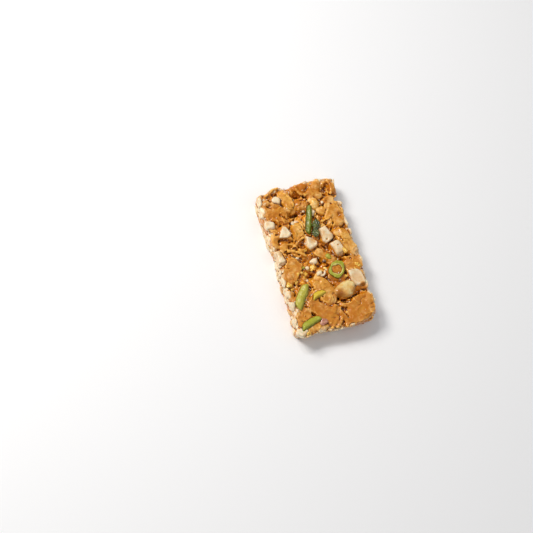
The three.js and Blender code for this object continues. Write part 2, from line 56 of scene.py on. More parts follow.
# x, y, length, width, turn, level above plateLevel, slope along, slope across, 0 flat to 1 round,
# tone from 0 deep amber to 1 pale
pressedPlates = [
    (-17.8, -5.4, 14.9, 10.2, 54, 0.1, 0.03, -0.04, 0.1, 0.44),     # left of the band
    (-3.2, -21.1, 17.5, 11.1, 116, 0.3, 0.02, 0.05, 0.3, 0.58),
    (13.5, -36.0, 23, 14, 19, 0.1, 0.02, -0.02, 0.1, 0.35),         # near right corner
    (-5.3, -31.7, 21, 13.5, 128, 0, -0.01, 0.03, 0.1, 0.35),
    (-13, -40.6, 16, 6, 4, -0.3, 0, 0.04, 0.5, 0.6),
    (11.5, 38.5, 13, 9, 40, -0.1, 0.03, 0.03, 0.4, 0.45),
    (19.0, 38.6, 8, 9, 80, 0.3, 0, 0.03, 0.5, 0.4),
    (-18.5, 29.9, 18.6, 11.2, 143, 0.0, -0.03, 0.05, 0.6, 0.42),    # far left
    (19.1, -8.5, 12, 10.7, 6, 0.1, 0.03, -0.03, 0.2, 0.45),
    (19.2, 4.7, 17.3, 8, 111, 0.2, -0.02, 0.03, 0.5, 0.66),
    (17.0, 20.5, 13.8, 11.3, 48, 0.1, 0.03, 0.02, 0.5, 0.55),
    (0.9, 40.9, 14.5, 6.8, 176, -0.5, 0.02, 0.04, 0.8, 0.1),
    (-8.2, 35.2, 13.6, 7.2, 103, 0.35, 0.02, 0.04, 0.6, 0.62),
    (-7.0, 16.7, 11.1, 7.1, 98, 0.0, 0.04, 0.04, 0.7, 0.75),
    (-22.4, 13.6, 9.5, 5.5, 93, 0.0, 0, 0.05, 0.7, 0.6),
    (-15.6, 8.6, 10.5, 5.2, 4, -0.2, 0.02, 0.06, 0.8, 0.6),
    (-17.6, -28.5, 15, 9.6, 66, -0.1, 0.03, -0.03, 0.3, 0.45),
    (-19.4, -36.2, 10.5, 6, 172, -0.2, 0.03, 0.02, 0.6, 0.5),
    (7.8, -12.6, 13, 10, 160, -0.5, 0.02, 0.02, 0.7, 0.15),         # under the ring
    (4.7, -1.2, 14, 4.8, 144, 0.5, 0.02, 0.03, 0.5, 0.5),
    (-1.0, 31.2, 9.4, 7.6, 178, 0.7, 0, 0.04, 1.0, 0.38),           # coated knob
    (7.4, 30.0, 7.4, 6, 49, 0.2, 0.02, 0.02, 0.9, 0.85),
    (11.2, 24.6, 8, 5.6, 138, 0.0, 0.02, 0.03, 0.7, 0.6),
    (-13.5, 20.8, 8, 4.6, 30, -0.5, 0.03, 0.05, 0.8, 0.45),
    (13.5, -21.8, 12, 9, 20, -0.8, 0.02, 0.02, 0.8, 0.2),
    (-8.6, 5.2, 9, 3.2, 168, -0.3, 0.03, 0.05, 0.8, 0.5),
]
# lumps too small for the solid, in the same form
coatedLumps = [
    (3.5, 41.5, 6.4, 5.6, 20, 0.1, 0, 0, 1.0, 0),                # clear amber dome at the far end
    (10.0, 38.9, 9.5, 5.2, 105, 0.3, 0, 0, 0.3, 0.45),
    (-11.9, 43.2, 4.6, 3.2, 30, -0.1, 0, 0, 0.5, 0.3),
    (7.8, 30.9, 6.6, 5.0, 100, 0.5, 0, 0, 1.0, 0.9),
    (10.8, 27.0, 4.4, 3.6, 60, 0.35, 0, 0, 1.0, 0.8),
    (13.9, 25.0, 7.6, 5.0, 35, 0.25, 0, 0, 0.5, 0.65),
    (-4.2, 19.7, 9.4, 4.0, 112, 0.3, 0, 0, 1.0, 0.8),
    (-18.6, 10.1, 8.8, 4.8, 5, -0.1, 0, 0, 1.0, 0.6),              # tan nut at the left
    (14.8, 31.8, 5.4, 4.4, 60, -0.2, 0, 0, 1.0, 0.35),
    (19.8, 26.9, 5.5, 4.8, 90, 0.15, 0, 0, 0.8, 0.6),
    (6.0, -17.4, 8.8, 5.2, 160, -0.55, 0, 0, 1.0, 0),            # clear amber lump below the ring
    (-11.4, 2.7, 9.8, 3.0, 150, -0.1, 0, 0, 0.7, 0.4),
    (1.5, 2.9, 2.8, 2.2, 20, -0.9, 0, 0, 1.0, 0.7),
    (-20.8, 19.2, 6.5, 3.6, 120, -0.1, 0, 0, 0.8, 0.5),
    (12.0, -12.6, 5.0, 3.4, 60, -0.9, 0, 0, 1.0, 0.3),
    (-22.8, -18.8, 8.4, 4.4, 100, -0.3, 0, 0, 0.9, 0.5),
    (-12.4, -14.6, 4.6, 3.2, 150, -0.6, 0, 0, 1.0, 0.6),
    (9.6, -28.2, 5.6, 3.4, 10, -0.5, 0, 0, 0.9, 0.5),
]
fillPlates = {"count": 46, "size": (3.6, 6.4), "level": (-1.5, -0.4), "seed": 7, "small": 170}

# x, y, radius, depth
pits = [(-6.2, 25.5, 3.5, 4.2), (15.6, 37.1, 2.5, 4.4), (-1.4, 38.2, 2.2, 2.8), (3.4, 36.2, 1.3, 2.0),
        (5.6, -34.4, 2.0, 2.6), (7.6, -29.6, 1.4, 2.0), (-11.0, -18.0, 1.8, 2.4), (-8.0, -10.0, 3.0, 2.2),
        (-6.8, -10.1, 1.5, 3.2), (0.8, -13.0, 1.5, 3.0), (12.7, -13.1, 1.3, 2.6), (-10.5, -0.6, 1.5, 3.0),
        (8.8, -0.4, 1.0, 2.2), (6.6, 4.1, 1.7, 3.0), (11.3, 8.0, 1.3, 3.0), (16.0, -21.5, 1.2, 2.6),
        (17.7, -2.3, 1.4, 2.0), (-6.1, 8.5, 1.4, 2.8), (0.8, -3.1, 1.3, 3.0), 
        (-14.7, -14.8, 1.3, 2.2), (-14.5, 7.8, 1.5, 2.2), (-11.6, 5.9, 1.6, 2.6), (-5.3, 3.3, 1.4, 2.6),
        (4.4, -26.6, 1.4, 2.4), (6.3, -25.4, 1.4, 2.2), 
        (20.6, -24.6, 1.5, 2.2), 
        (16.6, 29.3, 1.2, 1.4), (13.9, -6.0, 1.4, 2.2), (-12.6, -10.1, 1.3, 2.0), (11.2, 18.6, 1.5, 2.4),
        (18.6, 40.2, 1.6, 1.3), (19.9, 20.8, 1.6, 1.1), 
        (-16.0, 22.6, 1.5, 1.8), (-19.6, 34.2, 1.4, 1.3), (4.0, 24.0, 1.4, 2.4), (-2.6, 27.2, 1.4, 2.4)]

# cracks between and across the plates: from x, y to x, y, half width, depth
cracks = [(-16.6, -28.0, -14.6, -29.1, 0.45, 1.6), (-13.7, -32.5, -12.4, -33.8, 0.4, 1.5),
          (-6.4, -27.2, -5.5, -29.9, 0.45, 1.6), (-1.9, -40.7, -3.2, -42.5, 0.4, 1.3), (0.4, -38.9, 0.2, -41.6, 0.4, 1.5),
          (6.3, -28.4, 10.2, -28.3, 0.6, 2.2), (10.2, -28.3, 17.9, -26.6, 0.55, 2.0), (1.6, -24.3, 2.1, -29.2, 0.6, 2.4),
          (2.1, -29.2, 4.6, -33.0, 0.45, 1.8), (-21.0, 34.4, -18.4, 31.6, 0.45, 1.4), (-9.4, -14.6, -8.6, -20.0, 0.6, 2.0),
          (-8.6, -20.0, -5.0, -24.4, 0.5, 1.4), (19.6, 33.2, 22.4, 33.6, 0.5, 1.6), (12.6, 12.2, 14.8, 17.0, 0.45, 1.6),
          (14.6, 9.2, 17.2, 5.2, 0.4, 1.2), (-14.8, 27.6, -10.6, 24.2, 0.5, 1.6), (5.2, -36.6, 6.4, -39.8, 0.5, 1.8)]

# gaps between the plates that go deep: x, y, radius, floor
deepGaps = [(-6.2, -9.7, 2.1, 8.4), (-8.8, -9.9, 1.5, 8.8), (0.8, -13.0, 1.4, 8.8), (12.7, -13.1, 1.2, 9.0),
            (-10.5, -0.6, 1.4, 9.0), (6.6, 4.1, 1.5, 8.8), (11.3, 8.2, 1.2, 9.0), (0.8, -3.1, 1.1, 9.0),
            (8.8, -0.4, 1.0, 9.4), (16.0, -21.5, 1.3, 9.2), (-6.1, 8.5, 1.3, 9.0), (-6.1, 25.6, 1.8, 8.6),
            (-3.2, 27.0, 1.3, 9.0), (15.5, 37.3, 1.5, 8.6), (4.8, -33.8, 1.2, 8.8),
            (6.8, -34.3, 1.1, 9.4), (5.2, -35.6, 0.9, 9.8), (-1.6, 37.4, 1.3, 9.4),
            (-5.2, 3.2, 1.2, 9.0), (4.6, -26.8, 1.1, 9.2), (-12.2, 6.2, 1.1, 9.4), (13.2, -5.6, 1.0, 9.4),
            (4.2, 24.4, 1.1, 9.2), (11.0, 18.4, 1.2, 9.2), (17.4, -2.8, 1.0, 9.6), (-10.4, -17.8, 1.0, 9.6)]

# thin crests of pulled caramel: from, by and to (x, y, lift above plateLevel), radius
pulledThreads = [
    ((13.9, 38.8, -1.3), (15.6, 37.5, -0.8), (17.6, 35.8, -1.3), 0.34),    # across the slot, far right
    ((14.2, 35.8, -1.6), (16.0, 36.3, -1.3), (17.8, 38.2, -1.3), 0.28),
    ((-0.6, 45.0, -1.0), (-2.0, 41.5, -0.7), (1.2, 38.0, -1.0), 0.8),      # rim of the amber dome
    ((1.2, 38.0, -1.0), (4.6, 36.6, -1.0), (7.4, 38.2, -0.8), 0.7),
    ((-23.2, 14.6, -0.5), (-17.5, 16.4, -0.1), (-12.4, 12.4, -0.5), 0.8),  # over the tan nut
    ((-12.0, 7.6, -1.2), (-9.0, 11.0, -0.3), (-5.2, 11.9, -0.3), 0.62),
    ((19.9, -33.2, -0.3), (21.6, -36.2, -0.1), (17.8, -38.8, -0.3), 0.52),
    ((-4.8, -43.2, -0.9), (-2.2, -41.2, -0.65), (0.2, -38.0, -0.8), 0.75), # both sides of the fissure
    ((-2.0, -43.8, -0.9), (1.4, -41.4, -0.7), (2.6, -38.6, -0.8), 0.75),
    ((-19.8, 41.0, -0.5), (-13.0, 45.4, -0.3), (-5.6, 44.9, -0.5), 0.8),   # far rim
    ((14.8, 21.4, -0.3), (11.2, 18.8, -0.3), (7.8, 19.2, -0.4), 0.61),
    ((-16.4, 6.0, -1.0), (-11.8, 5.4, -0.7), (-7.2, 1.2, -0.9), 0.75),
    ((-9.0, 39.6, 0.2), (-5.6, 37.0, 0.3), (-5.8, 31.6, 0.1), 0.7),        # pale crest by the knob
    ((18.6, 34.6, -0.2), (21.0, 38.0, 0.1), (18.6, 42.6, -0.2), 0.6),
    ((-3.0, -8.8, -2.0), (-0.8, -8.2, -1.6), (0.8, -10.0, -1.9), 0.45),
    ((-9.4, 24.0, -1.5), (-6.8, 24.8, -1.0), (-4.0, 27.4, -1.3), 0.3),
]




# ---------- fields on a grid: negative inside a shape, positive outside ----------
grid = {"step": 0.32, "low": (-27.8, -47.8, -0.9), "high": (27.8, 47.8, 14.9)}


def gridAxes(spec):
    return [np.arange(low, high, spec["step"], dtype=np.float32) for low, high in zip(spec["low"], spec["high"])]


def openAxes(axes):
    x, y, z = axes
    return x[:, None, None], y[None, :, None], z[None, None, :]


def smoothMax(a, b, soft):
    reach = np.maximum(soft - np.abs(a - b), 0)
    return np.maximum(a, b) + reach * reach / (4 * soft)


def smoothMin(a, b, soft):
    return -smoothMax(-a, -b, soft)


def smoothStep(value, low, high):
    t = np.clip((value - low) / (high - low), 0, 1)
    return t * t * (3 - 2 * t)


def latticeNoise(axes, size, seed):
    # smooth random values from -1 to 1 with lumps of this size
    draw = np.random.default_rng(seed)
    places = []
    for axis in axes:
        at = (axis + 60) / size
        cell = np.floor(at).astype(int)
        part = (at - cell).astype(np.float32)
        places.append((cell - cell.min(), part * part * (3 - 2 * part)))
    values = draw.uniform(-1, 1, [cell.max() + 2 for cell, _ in places]).astype(np.float32)
    for k, (cell, part) in enumerate(places):
        shape = [1] * len(places)
        shape[k] = -1
        part = part.reshape(shape)
        values = np.take(values, cell, axis=k) * (1 - part) + np.take(values, cell + 1, axis=k) * part
    return values


def seededRandom(seed):
    # the same short generator that the bar's solid uses, so the fill plates lie where its own do
    state = seed & 0xffffffff
    while True:
        state = (state + 0x6d2b79f5) & 0xffffffff
        mixed = ((state ^ (state >> 15)) * (state | 1)) & 0xffffffff
        mixed = ((mixed + (((mixed ^ (mixed >> 7)) * (mixed | 61)) & 0xffffffff)) ^ mixed) & 0xffffffff
        yield (mixed ^ (mixed >> 14)) / 4294967296


def between(pair, part):
    return pair[0] + (pair[1] - pair[0]) * part


def waveSum(waves, along):
    return sum(out * np.exp(-((along - at) / reach) ** 2) for at, reach, out in waves)


def ripple(along, phase):
    # half as strong as in the solid, because the knife left the nuts flat
    return 0.11 * np.sin(along * 0.9 + phase) + 0.05 * np.sin(along * 2.1 + 2 * phase)


def planField(x, y, z):
    # distance out of the bar's plan, its corners rounded and its near side leaning in at the foot
    left = -bar["width"] / 2 - waveSum(edgeWaves["left"], y) - ripple(y, 1)
    right = bar["width"] / 2 + waveSum(edgeWaves["right"], y) + ripple(y, 2)
    near = -bar["length"] / 2 - waveSum(edgeWaves["near"], x) - ripple(x, 3)
    near = near + bar["nearLean"] * np.maximum(0, 1 - z / bar["plateLevel"])
    far = bar["length"] / 2 + waveSum(edgeWaves["far"], x) + ripple(x, 4)
    outX = {"Left": left - x, "Right": x - right}
    outY = {"near": near - y, "far": y - far}
    field = np.float32(-99)
    for endName, endOut in outY.items():
        for sideName, sideOut in outX.items():
            radius = bar["corners"][endName + sideName]
            corner = np.hypot(np.maximum(sideOut + radius, 0), np.maximum(endOut + radius, 0))
            corner = corner + np.minimum(np.maximum(sideOut, endOut) + radius, 0) - radius
            field = np.maximum(field, corner)
    return field.astype(np.float32)


def plateList():
    # the small ones first, so that the large ones can press a crease round themselves
    plates = []
    draw = seededRandom(fillPlates["seed"])
    for _ in range(fillPlates["count"]):
        x = between((-bar["width"] / 2, bar["width"] / 2), next(draw))
        y = between((-bar["length"] / 2, bar["length"] / 2), next(draw))
        length = between(fillPlates["size"], next(draw))
        width = length * between((0.55, 0.9), next(draw))
        level = between(fillPlates["level"], next(draw))
        turn = 180 * next(draw)
        plates.append((x, y, length, width, turn, level, 0, 0.12 * (next(draw) - 0.5), 0.9, 0.4))
    more = np.random.default_rng(fillPlates["seed"])     # smaller ones, too fine for the solid
    for _ in range(fillPlates["small"]):
        length = more.uniform(2.0, 4.8)
        plates.append((more.uniform(-0.5, 0.5) * bar["width"], more.uniform(-0.5, 0.5) * bar["length"], length,
                       length * more.uniform(0.5, 0.9), more.uniform(0, 180), more.uniform(-1.6, -0.2),
                       more.uniform(-0.12, 0.12), more.uniform(-0.2, 0.2), 1.0, more.uniform(0.1, 0.85)))
    return [(plate, 0.0) for plate in plates] + [(plate, 0.9) for plate in coatedLumps] \
        + [(plate, 0.9) for plate in sorted(pressedPlates, key=lambda plate: plate[5])]


def topRelief(axes):
    # height and tone of the pressed top: plates and lumps with broken outlines, melted into each other
    x, y = np.meshgrid(axes[0], axes[1], indexing="ij")
    plan = axes[:2]
    ragged = [latticeNoise(plan, size, 11 + k) for k, size in enumerate((5.0, 2.2, 0.9))]
    raggedToo = [latticeNoise(plan, size, 21 + k) for k, size in enumerate((5.0, 2.2, 0.9))]
    wx = x + 0.9 * ragged[0] + 0.45 * ragged[1] + 0.16 * ragged[2]
    wy = y + 0.9 * raggedToo[0] + 0.45 * raggedToo[1] + 0.16 * raggedToo[2]
    height = bar["creviceLevel"] + 0.1 + 0.8 * latticeNoise(plan, 2.6, 15) + 0.45 * latticeNoise(plan, 1.1, 16)
    tones = np.full(height.shape, 0.3, np.float32)
    rimHere = np.maximum(latticeNoise(plan, 4.6, 19), 0)
    for (px, py, length, width, turn, level, slopeAlong, slopeAcross, roundness, tone), moat in plateList():
        cos, sin = math.cos(math.radians(turn)), math.sin(math.radians(turn))
        along = (wx - px) * cos + (wy - py) * sin
        across = (wy - py) * cos - (wx - px) * sin
        power = 3.9 - 1.7 * roundness
        out = (np.abs(along * 2 / length) ** power + np.abs(across * 2 / width) ** power) ** (1 / power)
        shoulder = min(0.7 + 1.3 * roundness, 0.42 * width)
        past = np.maximum(out - 1, 0) * width / 2 + np.maximum(np.minimum(out, 1) * width / 2 - width / 2 + shoulder, 0)
        turnOver = past / shoulder
        drop = shoulder * (1 - np.sqrt(1 - np.minimum(turnOver, 0.93) ** 2))
        drop = drop + np.maximum(turnOver - 0.93, 0) * shoulder * 2.3
        drop = drop + roundness * 0.5 * np.minimum(out, 1.2) ** 2
        rim = 0.3 * (1 - roundness) * rimHere * np.exp(-((past - 0.12) / 0.3) ** 2) * (past > 0)
        plate = bar["plateLevel"] + level + along * slopeAlong + across * slopeAcross - drop + rim
        if moat:
            height -= moat * np.exp(-(((out - 1) * width / 2 - 0.5) / 0.55) ** 2)
        tones = np.where(plate > height, tone, tones)
        height = smoothMax(height, plate, 0.35)
    height -= bar["bandDrop"] * np.exp(-((y - bar["bandMiddle"]) / bar["bandReach"]) ** 4)
    px2, py2 = x + 0.35 * (wx - x), y + 0.35 * (wy - y)
    for px, py, radius, depth in pits:
        near = ((px2 - px) ** 2 + (py2 - py) ** 2) / radius ** 2
        height -= depth * np.exp(-np.maximum(near + 0.5 * ragged[1] + 0.35 * raggedToo[2], 0) ** 1.4)
    for fromX, fromY, toX, toY, halfWidth, depth in cracks:
        wayX, wayY = toX - fromX, toY - fromY
        t = np.clip(((px2 - fromX) * wayX + (py2 - fromY) * wayY) / (wayX ** 2 + wayY ** 2), 0, 1)
        off = np.hypot(px2 - fromX - t * wayX, py2 - fromY - t * wayY) + 0.3 * ragged[2]
        height -= depth * np.exp(-(np.maximum(off, 0) / (halfWidth * (1.3 - 0.6 * t))) ** 2)
    height += 0.2 * latticeNoise(plan, 4.2, 17) + 0.12 * latticeNoise(plan, 1.7, 18)
    # thin folds where the sheet wrinkled as it was pressed
    for size, tall, thin, seed in ((4.4, 0.45, 0.15, 25), (2.6, 0.32, 0.17, 27), (3.4, -0.4, 0.12, 29)):
        fold = latticeNoise(plan, size, seed)
        height += tall * np.exp(-(fold / thin) ** 2) * smoothStep(latticeNoise(plan, 6.5, seed + 1), -0.1, 0.4)
    return height, tones


# ---------- chopped peanuts ----------
choppedNuts = {"topCount": 130, "topSize": (3.6, 7.0), "sideCount": 150, "sideSize": (5.0, 11.0),
               "underCount": 70, "underSize": (5.0, 9.0), "coat": (0.15, 0.5), "seed": 5}


def makeNut(draw, centre, size, turn=None, tilt=0.5, cuts=5, flatTop=False):
    # an oval kernel with a few knife cuts: its middle, half sizes, axes and cutting planes
    turn = draw.uniform(0, 2 * math.pi) if turn is None else turn
    spin = Matrix.Rotation(turn, 3, "Z") @ Matrix.Rotation(draw.uniform(-tilt, tilt), 3, "X") \
        @ Matrix.Rotation(draw.uniform(-tilt, tilt), 3, "Y")
    half = np.array(size) / 2
    planes = []
    if flatTop:
        planes.append((np.array((0.12 * draw.uniform(-1, 1), 0.12 * draw.uniform(-1, 1), 1)), 0.7))
    start = draw.uniform(0, 2 * math.pi)
    for k in range(cuts):
        angle = start + (k + 0.6 * draw.uniform(0, 1)) * 2 * math.pi / cuts
        lean = draw.uniform(-0.7, 0.7)
        planes.append((np.array((math.cos(angle), math.sin(angle), lean)), draw.uniform(0.55, 0.9)))
    faces = []
    for normal, reach in planes:
        normal = normal / np.linalg.norm(normal)
        faces.append((normal, reach * float(np.linalg.norm(half * normal))))
    return {"centre": np.array(centre, float), "half": half * 1.12, "spin": np.array(spin), "faces": faces,
            "tone": draw.uniform(0, 1)}


def nutWindow(nut, axes, extra):
    reach = float(np.max(nut["half"])) + extra
    window = []
    for axis, middle in zip(axes, nut["centre"]):
        first = int(np.searchsorted(axis, middle - reach))
        last = int(np.searchsorted(axis, middle + reach))
        window.append(slice(first, max(last, first)))
    return tuple(window)


def nutField(nut, x, y, z, round=0.8):
    dx, dy, dz = x - nut["centre"][0], y - nut["centre"][1], z - nut["centre"][2]
    spin = nut["spin"]
    local = [dx * spin[0, k] + dy * spin[1, k] + dz * spin[2, k] for k in range(3)]
    a, b, c = nut["half"]
    near = np.sqrt((local[0] / a) ** 2 + (local[1] / b) ** 2 + (local[2] / c) ** 2) + 1e-4
    slope = np.sqrt((local[0] / a ** 2) ** 2 + (local[1] / b ** 2) ** 2 + (local[2] / c ** 2) ** 2) + 1e-4
    field = near * (near - 1) / slope
    for normal, reach in nut["faces"]:
        flat = local[0] * normal[0] + local[1] * normal[1] + local[2] * normal[2] - reach
        field = smoothMax(field, flat, round)
    return field


def addNut(target, nut, axes, grow=0.0, soft=0.0, extra=1.6, tones=None, wall=None, second=None):
    window = nutWindow(nut, axes, extra)
    if any(part.stop <= part.start for part in window):
        return
    x, y, z = openAxes([axis[part] for axis, part in zip(axes, window)])
    field = nutField(nut, x, y, z) - grow
    if wall is not None:     # the knife's own cut through this nut
        cx, cy, cz = nut["centre"]
        lean = nut["lean"]
        cut = wall[window] + nut["sunk"] + lean[0] * (x - cx + y - cy) + lean[1] * (z - cz)
        field = smoothMax(field, cut, 0.5)
    if soft:
        target[window] = smoothMin(target[window], field, soft)
        return
    if second is not None:
        second[window] = np.minimum(second[window], np.maximum(target[window], field))
    if tones is not None:
        tones[window] = np.where(field < target[window], nut["tone"], tones[window])
    target[window] = np.minimum(target[window], field)


def scatterNuts(heightAt):
    # nuts under the top, nuts the knife went through at the sides, and nuts in the underside
    draw = np.random.default_rng(choppedNuts["seed"])
    top, side, under = [], [], []

    def tryNut(nuts, centre, size, share, **kind):
        far = [np.linalg.norm(np.array(centre) - nut["centre"]) - share * (size[0] + nut["size"]) / 2 for nut in nuts]
        if min(far, default=1) <= 0:
            return
        nut = makeNut(draw, centre, size, **kind)
        nut["size"] = size[0]
        nuts.append(nut)

    for _ in range(2600):
        if len(top) >= choppedNuts["topCount"]:
            break
        x = draw.uniform(-bar["width"] / 2, bar["width"] / 2)
        y = draw.uniform(-bar["length"] / 2, bar["length"] / 2)
        long = draw.uniform(*choppedNuts["topSize"])
        tall = long * draw.uniform(0.5, 0.75)
        sunk = draw.uniform(0.3, 1.5)
        size = (long, long * draw.uniform(0.6, 0.85), tall)
        tryNut(top, (x, y, heightAt(x, y) - tall / 2 + 0.75 - sunk), size, 0.7)
    ring = 2 * (bar["width"] + bar["length"])
    for _ in range(6000):
        if len(side) >= choppedNuts["sideCount"]:
            break
        around = draw.uniform(0, ring)
        long = draw.uniform(*choppedNuts["sideSize"])
        z = draw.uniform(0.8, bar["plateLevel"] - 1.4)
        inset = draw.uniform(-0.4, 1.5)
        if around < bar["width"]:
            x, y, turn = around - bar["width"] / 2, -bar["length"] / 2 + inset + 1.0, 0
        elif around < bar["width"] + bar["length"]:
            x, y, turn = bar["width"] / 2 - inset, around - bar["width"] - bar["length"] / 2, math.pi / 2
        elif around < 2 * bar["width"] + bar["length"]:
            x, y, turn = bar["width"] * 1.5 + bar["length"] - around, bar["length"] / 2 - inset, 0
        else:
            x, y, turn = -bar["width"] / 2 + inset, ring - around - bar["length"] / 2, math.pi / 2
        size = (long, long * draw.uniform(0.55, 0.8), long * draw.uniform(0.42, 0.6))
        tryNut(side, (x, y, z), size, 0.5, turn=turn + draw.uniform(-0.35, 0.35), tilt=0.6)
    for _ in range(1500):
        if len(under) >= choppedNuts["underCount"]:
            break
        x = draw.uniform(-bar["width"] / 2 + 3, bar["width"] / 2 - 3)
        y = draw.uniform(-bar["length"] / 2 + 3, bar["length"] / 2 - 3)
        long = draw.uniform(*choppedNuts["underSize"])
        size = (long, long * draw.uniform(0.6, 0.85), long * 0.6)
        tryNut(under, (x, y, draw.uniform(0.2, 1.2)), size, 0.7)
    return top, side, under


# ivory nuts that show on the top: x, y, length, width, height, turn, lift above plateLevel
barePlaces = [(-14.7, 37.0, 6.4, 4.8, 5, 143, 0.85), (-22.8, 23.0, 9.4, 4.8, 6, 158, 0.6),
              (22.6, -22.2, 8.6, 2.8, 5, 104, 0.1),
              (-24.0, -25.6, 7.6, 5.0, 6, 106, 0.4), (-22.6, -42.0, 8.2, 6.2, 6.5, 139, 0.5),
              (22.9, 28.2, 6.4, 3.4, 6, 95, -0.1), (22.9, 17.2, 7.6, 3.0, 6, 92, -0.3),
              (-24.6, -4.8, 5.6, 4.2, 6, 80, -0.5), (-24.8, -10.6, 7, 4.0, 6, 88, -0.7),
              (-24.9, -17.5, 7, 4.0, 6, 84, -0.8), (-24.6, -34.6, 6, 3.2, 6, 100, -0.2),
              (7.4, -43.9, 6.4, 2.6, 3.6, 12, -0.3), (24.9, -32.8, 2.4, 1.6, 2.4, 90, -0.2),
              (-24.6, 31.5, 6.8, 3.4, 6, 82, -0.5), (-24.2, 38.4, 6.8, 4.0, 7, 86, 0.3),
              (-19.4, -44.2, 4.6, 2.4, 4, 10, -0.6)]

print("fields")
axes = gridAxes(grid)
gridX, gridY, gridZ = openAxes(axes)
relief, plateTone = topRelief(axes)


def heightIn(table, x, y):
    i = int(np.clip(np.searchsorted(axes[0], x), 0, len(axes[0]) - 1))
    j = int(np.clip(np.searchsorted(axes[1], y), 0, len(axes[1]) - 1))
    return float(table[i, j])


plan = planField(gridX, gridY, gridZ)
topNuts, sideNuts, underNuts = scatterNuts(lambda x, y: heightIn(relief, x, y))
bareDraw = np.random.default_rng(23)
bareNuts = [makeNut(bareDraw, (x, y, bar["plateLevel"] + lift - 0.35 * tall), (long, wide, tall),
                    turn=math.radians(turn), tilt=0.15, flatTop=True)
            for x, y, long, wide, tall, turn, lift in barePlaces]
for nut in bareNuts:
    nut["tone"] *= 0.6

# ---------- pieces that lie in the top ----------
# each peanut: middle, size, turn, lift of the top above plateLevel, cuts as (angle, lean, reach),
# hollows as (x, y, radius, depth) and amber stains as (x, y, radius, strength); one stain on the broad nut is partly
# painted shade
peanutPieces = {
    "peanut_wedge": {"at": (-15.9, 16.9), "size": (10.2, 7.6, 4.5), "turn": 55, "lift": 0.9,
                     "cuts": [(90, 0.1, 0.52), (205, 0.1, 0.64), (330, 0.1, 0.66), (20, 0.5, 0.85)],
                     "hollows": [], "stains": []},
    "peanut_half": {"at": (-2.1, 7.9), "size": (8.4, 6.4, 5.5), "turn": 112, "lift": 1.0,
                    "cuts": [(180, 0.2, 0.8), (300, 0.3, 0.78), (60, 0.5, 0.8)],
                    "hollows": [(-0.3, 9.6, 3.2, 0.8)], "stains": [(-0.2, 9.4, 2.0, 0.5)]},
    "peanut_split": {"at": (8.2, 11.3), "size": (10.8, 7.2, 6.0), "turn": 96, "lift": 0.9,
                     "cuts": [(80, 0.3, 0.88), (200, -0.1, 0.84), (290, 0.4, 0.84), (10, 0.5, 0.85)],
                     "hollows": [(7.6, 7.6, 0.6, 0.5)], "stains": [(6.2, 12.0, 2.6, 0.36), (9.6, 9.6, 3.4, 0.2), (7.6, 7.6, 0.5, 1.0)]},
    "peanut_tall": {"at": (12.8, 1.8), "size": (10.4, 7.2, 6.0), "turn": 119, "lift": 0.8,
                    "cuts": [(75, 0.1, 0.84), (165, 0.5, 0.8), (255, 0.2, 0.84), (345, 0.2, 0.84)],
                    "hollows": [(13.0, 3.0, 0.5, 0.4)], "stains": [(16.6, -0.8, 2.4, 0.9), (12.2, 2.2, 4.6, 0.24), (13.0, 3.0, 0.45, 1.0)]},
    # the wide stain in the middle of the broad nut, over its shallow hollow, is partly syrup and partly painted shade
    "peanut_broad": {"at": (18.7, -18.0), "size": (13.4, 8.0, 6.5), "turn": 124, "lift": 0.9,
                     "cuts": [(60, 0.1, 0.86), (150, 0.5, 0.84), (240, 0.35, 0.84), (330, 0.2, 0.9)],
                     "hollows": [(18.0, -18.2, 4.0, 0.35)], "stains": [(18.2, -18.4, 5.0, 0.3), (20.4, -22.8, 1.8, 1.0)]},
    "peanut_glazed": {"at": (9.4, -23.2), "size": (13.2, 8.8, 7.0), "turn": 13, "lift": 1.4,
                      "cuts": [(100, 0.5, 0.94), (230, 0.5, 0.95), (320, 0.5, 0.95)],
                      "hollows": [], "stains": [(5.0, -25.4, 3.6, 1.0), (7.0, -26.4, 3.2, 0.8), (13.6, -24.6, 2.4, 0.5)]},
    "peanut_edge": {"at": (-22.2, 2.6), "size": (9.4, 7.8, 7.5), "turn": 96, "lift": -0.35,
                    "cuts": [(80, 0.2, 0.7), (180, 0.4, 0.7), (280, 0.3, 0.7)],
                    "hollows": [], "stains": [(-21.0, 5.6, 2.0, 0.5)]},
}


def pieceNut(spec):
    half = np.array(spec["size"]) / 2
    faces = [(np.array((0.0, 0.0, 1.0)), 0.78 * half[2])]
    for angle, lean, reach in spec["cuts"]:
        normal = np.array((math.cos(math.radians(angle)), math.sin(math.radians(angle)), lean))
        normal /= np.linalg.norm(normal)
        faces.append((normal, reach * float(np.linalg.norm(half * normal))))
    centre = np.array((*spec["at"], bar["plateLevel"] + spec["lift"] - 0.7 * half[2]))
    spin = np.array(Matrix.Rotation(math.radians(spec["turn"]), 3, "Z"))
    return {"centre": centre, "half": half * 1.12, "spin": spin, "faces": faces}


slivers = {
    "pistachio_sliver_long": {"at": (0.8, 21.8), "size": (16.8, 4.1, 3.6), "turn": 71, "lift": 1.4, "bend": -0.35},
    "pistachio_sliver_broad": {"at": (-16.8, -21.4), "size": (14.4, 6.0, 3.2), "turn": 56, "lift": 1.2, "bend": -0.3},
    "pistachio_sliver_yellow": {"at": (-6.9, -22.9), "size": (7.9, 3.9, 2.8), "turn": 16, "lift": 1.5, "bend": 0.2},
    "pistachio_sliver_near": {"at": (-16.2, -38.0), "size": (12.2, 4.8, 3.4), "turn": 19, "lift": 1.2, "bend": 0.5},
}
ringPiece = {"at": (8.0, -10.9), "outer": (10.4, 9.2), "wall": 2.0, "height": 2.8, "turn": 29, "lift": 0.9,
             "pool": 3.2}
leafPiece = {"at": (3.3, 15.6), "size": (11.2, 5.0), "thickness": 0.5, "turn": 70, "lift": 0.9, "crumple": 0.5}


